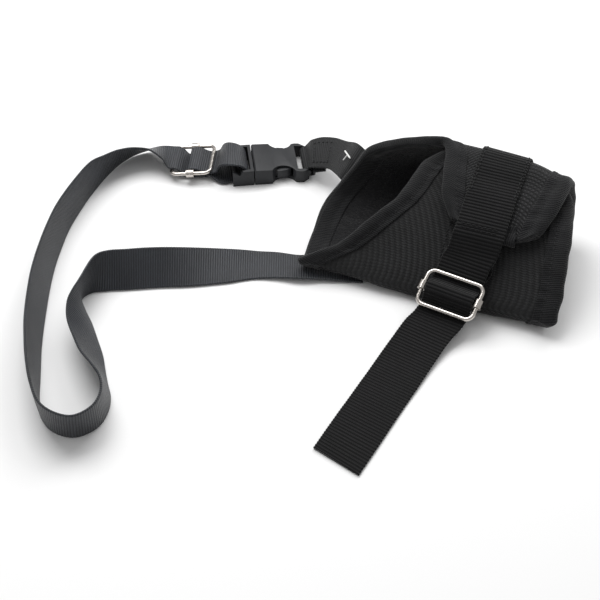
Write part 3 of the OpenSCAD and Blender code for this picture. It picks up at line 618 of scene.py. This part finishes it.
tape_runs = {
    "wide_rim_tape": ([cross_station(u, True) for u in steps(0, 17, 408)], "binding_wide_end"),
    "narrow_rim_tape": ([cross_station(u, False) for u in steps(0, 17, 408)], "binding_narrow_end"),
}
for at_flap, name, node in ((True, "flap_end_tape", "binding_flap"),
                            (False, "inner_edge_tape", "binding_inner_edge")):
    end_u = last_row if at_flap else 0
    first = rim_reach(end_u, True) + 0.07
    last = last_column - rim_reach(end_u, False) - 0.07
    tape_runs[name] = ([end_station(v, at_flap) for v in steps(first, last, 60 if at_flap else 90)], node)


def tape_fullness(name, u, v):
    """1 where a tape rolls freely, 0 where the webbing, the table or the flap lies on it."""
    ease = lambda x: min(max(x, 0), 1)
    if name == "wide_rim_tape":
        return min(ease(abs(u - 10.95) / 0.5 - 1), ease(abs(u - 8.3) / 0.5 - 1.6))
    if name == "narrow_rim_tape":
        return ease(abs(u - 9) / 0.5 - 3)
    return ease((face(u, v)[0] - 116) / 2) if name == "flap_end_tape" else 0


all_seats = []
for name, (stations, node) in tape_runs.items():
    run = run_along([face(*spots[-1]) for spots, inward in stations])
    fullness = [tape_fullness(name, *spots[-1]) for spots, inward in stations]
    bound = tape(name, stations, run, fullness)
    bound.data.materials.append(binding_knit)
    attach(bound, "muzzle")
    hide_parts(node)
    all_seats += tape_stitches(stations, run)
add_threads("binding_stitches", all_seats, 2.5, 0.55, 0.45, "muzzle", material=thread_material)

# ---------------------------------------------------------------- girth strap and its anchor
# 30 mm polypropylene webbing, sewn over the flap. It comes down the wall, under the wire
# slider's frame, over its bar and back under, and its heat-cut tail lies on the table.
# A short piece of the same webbing, sewn to the wall, holds the slider's bar.
girth_w, girth_t, web_gap = 30, 1.6, 0.2
girth_wire, girth_bar_d = 2.6, 3
slider_at, slider_turn = np.array([92.5, -4.6, 17.8]), (28.5, 0, -8)
bar_drop = 1.6
under_wire = -girth_wire / 2 - web_gap - girth_t / 2
anchor_radius = girth_bar_d / 2 + web_gap + girth_t / 2
over_bar = anchor_radius - bar_drop + girth_t + web_gap
anchor_under = under_wire - girth_t - 3 * web_gap
half_girth = girth_w / 2
girth_high = 0.6 + girth_t / 2
girth_over_tape = tape_gap + tape_t + web_gap + girth_t / 2


def slider_row(x, y, z):
    return [*(slider_at + turned((x, y, z), slider_turn)), *turned((10, 0, 0), slider_turn)]


def on_face(u, a, high):
    """A row of the girth webbing over the panel's face at row u, its left edge at a."""
    row = sleeve_row(u)
    column_at = lambda x: float(np.interp(x, row[:, 0], range(5)))
    left, right = face(u, column_at(a)), face(u, column_at(a + girth_w))
    foot = np.array([a, left[1], left[2]]) + outward(u, column_at(a + girth_w / 2)) * high
    return [*foot, *(unit(np.array([girth_w, right[1] - left[1], right[2] - left[2]])) * 10)]


def rows_to_part(rows, in_sleeve):
    """Rows of [foot, lean] turned into the part's frame."""
    out = []
    for row in rows:
        foot, lean = np.array(row[:3], float), np.array(row[3:], float)
        if in_sleeve:
            foot, lean = sleeve_to_part(foot), turned(lean, (0, 0, sleeve_yaw))
        else:
            foot = table_to_part(foot)
        out.append([*foot, *lean])
    return np.array(out)


def smooth_rows(rows, count):
    """The rows and count - 1 more between each two, on one smooth run."""
    stride = [np.linalg.norm(b[:3] - a[:3]) for a, b in zip(rows, rows[1:])]
    slope = []
    for i in range(len(rows)):
        if i == 0:
            slope.append((rows[1] - rows[0]) / stride[0])
        elif i == len(rows) - 1:
            slope.append((rows[i] - rows[i - 1]) / stride[-1])
        else:
            a, b = stride[i - 1], stride[i]
            slope.append(((rows[i + 1] - rows[i]) * a / b + (rows[i] - rows[i - 1]) * b / a) / (a + b))
    out = []
    for i in range(len(rows) - 1):
        m0, m1 = slope[i] * stride[i], slope[i + 1] * stride[i]
        for k in range(count + (i == len(rows) - 2)):
            t = k / count
            out.append(rows[i] * (1 + 2 * t) * (1 - t) ** 2 + m0 * t * (1 - t) ** 2
                       + rows[i + 1] * t * t * (3 - 2 * t) - m1 * t * t * (1 - t))
    return np.array(out)


def webbing_path(rows, width, fine=12):
    """Middle, lean and length run of webbing, from rows of [foot, lean]."""
    dense = smooth_rows(rows, fine)
    leans = dense[:, 3:] / np.linalg.norm(dense[:, 3:], axis=1)[:, None]
    mids = dense[:, :3] + leans * width / 2
    run = np.concatenate([[0], np.cumsum(np.linalg.norm(np.diff(mids, axis=0), axis=1))])
    return {"mids": mids, "leans": leans, "run": run, "fine": fine, "width": width}


def on_path(path, place):
    """Middle, way along, lean and upward normal of webbing at a place along its run."""
    take = lambda what, at: np.array([np.interp(at, path["run"], what[:, k]) for k in range(3)])
    ahead = take(path["mids"], place + 0.35) - take(path["mids"], place - 0.35)
    lean = unit(take(path["leans"], place))
    up = unit(np.cross(ahead, lean))
    return take(path["mids"], place), unit(np.cross(lean, up)), lean, up


def webbing(name, path, thick, pitch, rib=0.07, scallop=0.16):
    """Woven webbing along a path: ribs across it, scalloped selvedges and heat-sealed ends."""
    width, total = path["width"], path["run"][-1]
    count = int(total / (pitch / 4)) + 1
    seats = [on_path(path, total * i / (count - 1)) for i in range(count)]
    spread = [-1, -0.985, -0.955, -0.9, -0.8, -0.6, -0.4, -0.2, 0, 0.2, 0.4, 0.6, 0.8, 0.9, 0.955, 0.985, 1]
    swell = {1: 0.3, 0.985: 0.72, 0.955: 0.97, 0.9: 0.92}
    cols = len(spread)

    def point(i, j):
        k = j if j < cols else 2 * cols - 1 - j
        s, side = spread[k], 1 if j >= cols else -1
        middle_of, ahead, lean, up = seats[i]
        place = total * i / (count - 1)
        wave = math.cos(2 * math.pi * place / pitch)
        end = min(place, total - place)
        high = thick / 2 * swell.get(abs(s), 1.0)
        if abs(s) < 0.93:
            high += rib * wave * 0.5 - rib * 0.5
        high *= 1 + 0.12 * math.exp(-end / 0.7)
        half = width / 2 + (scallop * (0.5 * wave - 0.5) if abs(s) > 0.93 else -0.06)
        half += 0.25 * noise.noise(Vector((place * 0.06, 9 if s > 0 else 2, thick)))
        high_at = high * side + 0.22 * noise.noise(Vector((place * 0.05, s * 0.8, 4))) * min(1, end / 20)
        return middle_of + lean * s * half + up * high_at

    def uv(i, j):
        j %= 2 * cols
        k = j if j < cols else 2 * cols - 1 - j
        return total * i / (count - 1) * MM, (spread[k] + 1) * width / 2 * MM

    return closed_sheet(name, count, 2 * cols, point, uv)


girth_rows = [on_face(u, 99.5 - half_girth, girth_high + max(13.6 - u, 0) * 0.5)
              for u in (12, 12.5, 13, 13.5, 14, 14.5, 15)]
girth_rows += [on_face(15.6, 99.3 - half_girth, girth_high + 0.8),
               on_face(16.3, 99 - half_girth, girth_over_tape + 0.4)]
girth_rows += [[98.8 - half_girth, 27.9, 40.8, 10, -0.1, 0], [98.6 - half_girth, 26, 39.6, 10, -0.1, 0],
               [98.3 - half_girth, 23.4, 36.6, 10, -0.2, 0], [97.8 - half_girth, 19.5, 31.8, 10, -0.4, 0]]
girth_rows += [slider_row(x - half_girth, y, z) for x, y, z in (
    (0.4, 22.2, -0.7), (0.3, 18, under_wire + 0.7), (0.2, 14.5, under_wire), (0, 7, under_wire),
    (0, 4.4, over_bar - 2.6), (0, 2.1, over_bar - 0.2), (0, 0, over_bar), (0, -2.1, over_bar - 0.2),
    (0, -4.4, over_bar - 2.6), (0, -7, under_wire), (-0.8, -14, under_wire - 0.2))]
girth_rows += [[86.5 - half_girth, -22, 6.6, 29.4, -5.5, -0.6], [83 - half_girth, -36, 3.6, 29, -6, -0.4],
               [78.5 - half_girth, -62, 1.3, 28.6, -6, 0], [74.5 - half_girth, -88, 1.1, 28, -6.5, 0],
               [71.5 - half_girth, -108, 1.1, 27.8, -7, 0], [69 - half_girth, -126.5, 1.1, 27, -8.5, 0]]
girth_path = webbing_path(rows_to_part(girth_rows, True), girth_w)
girth_strap = webbing("girth_webbing", girth_path, girth_t, 2.1, 0.14, 0.3)
girth_cloth = cloth_material("girth_webbing", (0.0009, 0.0009, 0.001), (0.0052, 0.0052, 0.0056),
                             0.0021, 0.0011, 0.0, 0.0003, 0.6, 0.17, 0.1, 0.25)
girth_strap.data.materials.append(girth_cloth)
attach(girth_strap, "muzzle")
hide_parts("girth_strap")

anchor_rows = [on_face(u, 96.5 - half_girth, girth_high) for u in (4.4, 4.75, 5.1)]
anchor_rows += [slider_row(0.1 - half_girth, 15, anchor_under),
                slider_row(-half_girth, 10, anchor_under - 0.25),
                slider_row(-half_girth, 6.5, anchor_under - 0.15),
                slider_row(-half_girth, 3, -bar_drop - anchor_radius)]
anchor_rows += [slider_row(-half_girth, anchor_radius * math.cos(math.radians(a)),
                           -bar_drop + anchor_radius * math.sin(math.radians(a)))
                for a in range(270, 29, -30)]
girth_anchor = webbing("girth_anchor_webbing", webbing_path(rows_to_part(anchor_rows, True), girth_w),
                       girth_t, 2.1, 0.1, 0.2)
girth_anchor.data.materials.append(girth_cloth)
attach(girth_anchor, "muzzle")
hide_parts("girth_anchor")


def place_of_row(path, row):
    return path["run"][min(round(row * path["fine"]), len(path["run"]) - 1)]


def webbing_seats(path, thick, places, offsets, across=False):
    """Seats for stitches on webbing's upper face, at places along it and offsets across it."""
    seats = []
    for place in places:
        middle_of, ahead, lean, up = on_path(path, place)
        for y in offsets:
            spot = middle_of + lean * y + up * (thick / 2 + 0.12)
            seats.append((spot, lean if across else ahead, up))
    return seats


# two rows of stitches down the webbing's edges on the flap, and a double row across its end
seam_start, seam_end = place_of_row(girth_path, 3.5), place_of_row(girth_path, 7)
girth_seats = webbing_seats(girth_path, girth_t, np.arange(seam_start, seam_end, 3.3),
                            (2.2 - half_girth, half_girth - 1.9))
end_place = place_of_row(girth_path, 8.9)
girth_seats += webbing_seats(girth_path, girth_t, (end_place, end_place - 2.4),
                             np.arange(4.4 - half_girth, half_girth - 4, 3.2), across=True)
# one more row on the wall, left of the webbing
wall_seam_x, wall_seam_from, wall_seam_to, wall_seam_step = 79.5, 2.3, 5.0, 0.17
for u in np.arange(wall_seam_from, wall_seam_to, wall_seam_step):
    row = sleeve_row(u)
    v = float(np.interp(wall_seam_x, row[:, 0], range(5)))
    ahead = unit(wall_point(u + 0.05, v, 0) - wall_point(u - 0.05, v, 0))
    up = unit(turned(outward(u, v), (0, 0, sleeve_yaw)))
    girth_seats.append((wall_point(u, v, 0.1), ahead, unit(up - ahead * np.dot(up, ahead))))
add_threads("flap_seam_threads", girth_seats, 2.7, 0.75, 0.6, "muzzle", ["flap_stitching"], thread_material)

# ---------------------------------------------------------------- wire sliders
# Each slider is a frame of bent steel wire and a centre bar with two collars that slide on
# it. Both are nickel plated, bright, with hairline scratches and faint dull spots.
nickel, nickel_tree, nickel_shader = new_material("nickel_wire", 0.24, 0, 0.5, 1.0)
nickel_place = nickel_tree.nodes.new("ShaderNodeTexCoord")
dull = texture(nickel_tree, "Noise", nickel_place.outputs["Object"], Scale=420, Detail=4)
hairline = nickel_tree.nodes.new("ShaderNodeMapping")
hairline.inputs["Scale"].default_value = (260, 2600, 2600)
hairline.inputs["Rotation"].default_value = (0.3, 0.2, 0.5)
nickel_tree.links.new(nickel_place.outputs["Object"], hairline.inputs["Vector"])
scratches = texture(nickel_tree, "Noise", hairline.outputs[0], Scale=1, Detail=2)
nickel_tree.links.new(blend_colors(nickel_tree, dull.outputs["Fac"], (0.40, 0.37, 0.34), (0.74, 0.70, 0.66)),
                      nickel_shader.inputs["Base Color"])
tarnish = nickel_tree.nodes.new("ShaderNodeMapRange")
tarnish.inputs["From Min"].default_value = 0.35
tarnish.inputs["From Max"].default_value = 0.75
tarnish.inputs["To Min"].default_value = 0.12
tarnish.inputs["To Max"].default_value = 0.32
worn = calc(nickel_tree, "ADD", calc(nickel_tree, "MULTIPLY", dull.outputs["Fac"], 0.6),
            calc(nickel_tree, "MULTIPLY", scratches.outputs["Fac"], 0.4))
nickel_tree.links.new(worn, tarnish.inputs["Value"])
nickel_tree.links.new(tarnish.outputs[0], nickel_shader.inputs["Roughness"])
add_bump(nickel_tree, nickel_shader, scratches.outputs["Fac"], 0.000003, 0.4)


def finish_node(node, material):
    """Gives a CAD node, whose shape is right, its material."""
    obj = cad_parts[node]
    obj.data.materials.clear()
    obj.data.materials.append(material)


def round_copy(node, name, body, material, width, segments=3, angle=28):
    """A copy of a CAD node with its edges rounded as a moulded or worn piece's are."""
    bm = bmesh.new()
    bm.from_mesh(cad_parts[node].data)
    bmesh.ops.remove_doubles(bm, verts=bm.verts[:], dist=1e-6)
    bmesh.ops.dissolve_limit(bm, angle_limit=math.radians(1.5), verts=bm.verts[:], edges=bm.edges[:])
    obj = as_object(name, bm, smooth=True)
    obj.data.materials.append(material)
    bevel = obj.modifiers.new("soft_edges", "BEVEL")
    bevel.width = width * MM
    bevel.segments = segments
    bevel.limit_method = "ANGLE"
    bevel.angle_limit = math.radians(angle)
    bevel.harden_normals = True
    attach(obj, body)
    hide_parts(node)
    return obj


for node in ("girth_slider_bar", "girth_slider_frame", "neck_slider_bar", "neck_slider_frame"):
    finish_node(node, nickel)

# ---------------------------------------------------------------- neck strap and its loop
# 25 mm nylon webbing with a slight shine. The strap is sewn under the sleeve, stands on its
# edge round the table in a long loop and ends in the wire slider; a second piece goes from
# the slider round the plug's bar and back to the slider's own bar.
neck_w, neck_t = 25, 1.5
neck_wire, neck_bar_d = 2.5, 2.6
neck_slider_at, neck_slider_yaw, neck_slider_rise = np.array([-71.5, 130, 6.9]), -4, 6
buckle_at, buckle_yaw = np.array([-32, 126.5, 0]), 7
neck_bar_drop = 0.8
neck_bar_radius = neck_bar_d / 2 + web_gap + neck_t / 2
over_neck_wire = neck_wire / 2 + web_gap + neck_t / 2
under_loop = -neck_bar_drop - neck_bar_radius - neck_t - web_gap
half_neck = neck_w / 2
neck_route = [
    [38, 14, 0.1, 0, 10, 0], [24, 14.5, 1, 0, 10, -0.4], [12, 15, 2, 0, 10, -0.8],
    [1, 14.5, 3, 0, 10, -1.2], [-14, 17, 1.5, 0, 10, -0.5], [-27, 17.5, 0.15, 0, 10, 0.3],
    [-45, 13.5, 0.1, 0, 10, 3], [-64, 11, 0, 0, 9, 5], [-85, 9.8, 0, 0, 8, 7], [-104, 8, 0, 0, 7, 8],
    [-116, 7.2, 0, 0.5, 5.5, 8.6], [-125, 5.5, 0, 1.5, 3, 9.2], [-130, 0, 0, 1.5, -2, 9.6],
    [-127, -9, 0, -1, -2.5, 9.6], [-121, -22, 0, -4.4, -1.5, 8.8], [-116, -35, 0, -5.8, -1, 8],
    [-112, -47, 0, -5.4, -1.6, 8.2], [-109, -59, 0, -4.2, -2, 8.8], [-106.5, -69, 0, -2.4, -2.2, 9.4],
    [-104, -79, 0, -1, -2.2, 9.7], [-104, -88, 0, -0.2, -2.2, 9.8], [-109, -101, 0, 0.5, -2.2, 9.8],
    [-120, -107, 0, 1.1, -2.4, 9.7], [-130, -104, 0, 1.2, -2.6, 9.6], [-138, -95, 0, 0.6, -3, 9.5],
    [-142, -84, 0, -0.2, -2.2, 9.7], [-144.5, -66, 0, -1.5, -1, 9.8], [-148, -38, 0, -2.3, 0, 9.7],
    [-149.5, -12, 0, -2.6, 0, 9.6], [-150.5, 15, 0, -2.1, 0, 9.7], [-149.5, 40, 0, -1.6, 0.2, 9.8],
    [-147, 62, 0, -1.1, 0.2, 9.9], [-142, 84, 0, -0.5, 0, 9.9], [-136, 104, 0, 0.1, -0.8, 9.9],
    [-128, 123, 0, 0, -4, 9], [-120, 137, 0, 0.5, -5.8, 8.1], [-110, 146, 0.5, 0.6, -7.2, 6.9],
    [-102, 149, 1.5, 0.8, -8.1, 5.6], [-94.5, 147.5, 4.5, 1, -9.2, 3],
]


def lifted(row, thick):
    lean = unit(np.array(row[3:], float))
    return [row[0], row[1], row[2] + 0.12 + math.hypot(lean[0], lean[1]) * thick / 2, *row[3:]]


def neck_row(x, z):
    turn = (0, -neck_slider_rise, neck_slider_yaw)
    return [*(neck_slider_at + turned((x, half_neck, z), turn)), *turned((0, -10, 0), turn)]


def buckle_row(x, z, side=1):
    """A row across the webbing at the buckle, from the far edge (1) or the near edge (-1)."""
    turn = (0, 0, buckle_yaw)
    return [*(buckle_at + turned((x, side * half_neck, z), turn)), *turned((0, -10 * side, 0), turn)]


neck_rows = [lifted(row, neck_t) for row in neck_route]
# over the slider's rod, and clear of it through the frame's whole shift
neck_rows += [neck_row(-13, over_neck_wire + 0.4), neck_row(-10.5, over_neck_wire + 0.2),
              neck_row(-7.9, 0.35), neck_row(-4.6, under_loop + 0.9),
              neck_row(-1, under_loop), neck_row(5, under_loop), neck_row(8, under_loop)]
neck_path = webbing_path(rows_to_part(neck_rows, False), neck_w)
neck_strap = webbing("neck_webbing", neck_path, neck_t, 1.45, 0.09, 0.16)
neck_cloth = cloth_material("neck_webbing", (0.0052, 0.0060, 0.0076), (0.0265, 0.0305, 0.0390),
                            0.00145, 0.0009, 0.0, 0.00022, 0.44, 0.05, 0.45, 0.3)
neck_strap.data.materials.append(neck_cloth)
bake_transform(neck_strap)
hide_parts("neck_strap")

loop_rows = [neck_row(8.5, under_loop), neck_row(12, under_loop + 0.2)]
loop_rows += [buckle_row(x, z) for x, z in (
    (-22, 1.5), (-14, 1.6), (-7, 1.8), (-4.2, 3.4), (-3.8, 6), (-4, 9), (-6.2, 12.4), (-10, 14.8))]
loop_rows += [[-46.6, 137.6, 15.6, 0.3, -10, 0]]
loop_rows += [neck_row(x, z) for x, z in ((20.2, 3), (16.4, -1.7), (13.3, -over_neck_wire - 0.15),
                                          (10, -over_neck_wire - 0.1), (7, -0.9), (4.5, 0.7))]
loop_rows += [neck_row(neck_bar_radius * math.cos(math.radians(a)),
                       -neck_bar_drop + neck_bar_radius * math.sin(math.radians(a)))
              for a in range(90, 271, 30)]
loop_rows += [neck_row(2.8, -neck_bar_drop - neck_bar_radius + 0.25)]
neck_loop = webbing("neck_loop_webbing", webbing_path(rows_to_part(loop_rows, False), neck_w),
                    neck_t, 1.45, 0.07, 0.12)
neck_loop.data.materials.append(neck_cloth)
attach(neck_loop, "plug")
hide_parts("neck_loop")

# ---------------------------------------------------------------- side-release buckle
# Two mouldings of black acetal. The plug's prongs spring out into the socket's side windows;
# squeezed together, they let it go. Edges are rounded by the mould and rubbed by handling.
acetal, acetal_tree, acetal_shader = new_material("buckle_acetal", 0.45, 0, 0.32)
acetal_place = acetal_tree.nodes.new("ShaderNodeTexCoord")
grain = texture(acetal_tree, "Noise", acetal_place.outputs["Object"], Scale=2400, Detail=3)
flow = texture(acetal_tree, "Noise", acetal_place.outputs["Object"], Scale=120, Detail=4)
acetal_color = blend_colors(acetal_tree, flow.outputs["Fac"], (0.0105, 0.0113, 0.0130),
                            (0.0245, 0.0258, 0.0288))
acetal_tree.links.new(acetal_color, acetal_shader.inputs["Base Color"])
matt = acetal_tree.nodes.new("ShaderNodeMapRange")
matt.inputs["To Min"].default_value = 0.38
matt.inputs["To Max"].default_value = 0.56
acetal_tree.links.new(flow.outputs["Fac"], matt.inputs["Value"])
acetal_tree.links.new(matt.outputs[0], acetal_shader.inputs["Roughness"])
add_bump(acetal_tree, acetal_shader, grain.outputs["Fac"], 0.00006, 0.7)
round_copy("buckle_socket", "buckle_socket_moulding", "muzzle", acetal, 0.55)
round_copy("buckle_plug", "buckle_plug_moulding", "plug", acetal, 0.4)
round_copy("buckle_prong_front", "prong_front_moulding", "prong_front", acetal, 0.35)
round_copy("buckle_prong_back", "prong_back_moulding", "prong_back", acetal, 0.35)

# ---------------------------------------------------------------- short strap
# A short length of the 25 mm webbing ties the socket to the sleeve: doubled round the
# socket's bar and closed with a box of stitches, its other end sewn to the far wall.
web_bar_d = 3.4
loop_bend = web_bar_d / 2 + web_gap + neck_t / 2
socket_bar = (36.5, 5.5)
sewn_row = 10.95


def socket_row(x, z):
    return buckle_row(x, z, -1)


def far_wall_row(v, high):
    """A row of the sewn end, flat against the outer face of the far wall."""
    out = outward(sewn_row, v)
    across = face(sewn_row + 0.5, v) - face(sewn_row - 0.5, v)
    lean = unit(across - out * np.dot(across, out))
    foot = face(sewn_row, v) + out * high - lean * half_neck
    return [*(sleeve_at + turned(foot, (0, 0, sleeve_yaw))), *turned(lean * 10, (0, 0, sleeve_yaw))]


short_over_tape = tape_gap + tape_t + web_gap + neck_t / 2
short_rows = [[16.5, 111.5, 11.5, 3.5, 23.5, 7.5], [9.5, 115, 7.6, 1.5, 24, 4.5]]
short_rows += [socket_row(socket_bar[0] + 3.4, socket_bar[1] - loop_bend)]
short_rows += [socket_row(socket_bar[0] + loop_bend * math.cos(math.radians(a)),
                          socket_bar[1] + loop_bend * math.sin(math.radians(a))) for a in range(270, 89, -30)]
short_rows += [socket_row(socket_bar[0] + 1.3, socket_bar[1] + loop_bend + 0.7)]
short_rows += [[7, 116, 10.8, 0.5, 24, 4.5], [12, 113, 13, 2, 23.5, 7.5], [17.5, 108.5, 16, 4.5, 23.5, 8],
               [22.5, 97, 20.5, 9, 21.5, 10.5], [26, 86, 23.5, 13, 13, 16]]
short_rows += [far_wall_row(0.1, short_over_tape + 1.2), far_wall_row(0.25, short_over_tape + 0.6)]
short_path = webbing_path(rows_to_part(short_rows, False), neck_w)
short_strap = webbing("short_webbing", short_path, neck_t, 1.45, 0.08, 0.14)
short_cloth = cloth_material("short_webbing", (0.0026, 0.0028, 0.0031), (0.0125, 0.0131, 0.0146),
                             0.00145, 0.0009, 0.0, 0.00024, 0.58, 0.06, 0.3, 0.45)
short_strap.data.materials.append(short_cloth)
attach(short_strap, "muzzle")
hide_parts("short_strap")
box_places = [place_of_row(short_path, row) for row in (11.5, 12, 12.5, 13)]
box_seats = webbing_seats(short_path, neck_t, np.linspace(box_places[0], box_places[-1], 5), (-8, 8))
box_seats += webbing_seats(short_path, neck_t, (box_places[0], box_places[-1]),
                           np.arange(-6.4, 6.5, 2.6), across=True)
add_threads("short_seam_threads", box_seats, 2.1, 0.7, 0.55, "muzzle", ["short_strap_stitching"],
            thread_material)

# ---------------------------------------------------------------- tagging pin
# The white plastic T of a shop's tagging pin, left in the short strap. Its bar lies on the
# webbing and its cut filament sticks out.
tag_plastic, tag_tree, tag_shader = new_material("tag_plastic", 0.35, 0, 0.5)
tag_place = tag_tree.nodes.new("ShaderNodeTexCoord")
tag_cloud = texture(tag_tree, "Noise", tag_place.outputs["Object"], Scale=700)
tag_tree.links.new(blend_colors(tag_tree, tag_cloud.outputs["Fac"], (0.74, 0.74, 0.72), (0.9, 0.9, 0.89)),
                   tag_shader.inputs["Base Color"])
tag_gloss = tag_tree.nodes.new("ShaderNodeMapRange")
tag_gloss.inputs["To Min"].default_value = 0.28
tag_gloss.inputs["To Max"].default_value = 0.45
tag_tree.links.new(tag_cloud.outputs["Fac"], tag_gloss.inputs["Value"])
tag_tree.links.new(tag_gloss.outputs[0], tag_shader.inputs["Roughness"])
finish_node("tag_pin", tag_plastic)

# ---------------------------------------------------------------- table and light
# A plain white table that runs out of view, a soft white room, one large lamp above on the
# left and a weaker one behind.
table_mesh = bmesh.new()
bmesh.ops.create_grid(table_mesh, x_segments=1, y_segments=1, size=3)
table_top = as_object("table_top", table_mesh, smooth=False)
white, _, white_shader = new_material("table_white", 0.7, 0, 0.2)
white_shader.inputs["Base Color"].default_value = (0.9, 0.9, 0.9, 1)
table_top.data.materials.append(white)

room = bpy.data.worlds.new("white_room")
room.use_nodes = True
room.node_tree.nodes["Background"].inputs["Color"].default_value = (1, 1, 1, 1)
room.node_tree.nodes["Background"].inputs["Strength"].default_value = 0.47
scene.world = room
lamps = (("lamp_above", (-0.25, 0.42, 0.95), 0.7, 8.5), ("lamp_behind", (0.45, 0.8, 0.95), 0.6, 5.5))
for name, place_at, size, power in lamps:
    lamp_data = bpy.data.lights.new(name, "AREA")
    lamp_data.shape = "SQUARE"
    lamp_data.size = size
    lamp_data.energy = power
    lamp = bpy.data.objects.new(name, lamp_data)
    lamp.location = place_at
    lamp.rotation_euler = (-Vector(place_at)).to_track_quat("-Z", "Y").to_euler()
    scene.collection.objects.link(lamp)
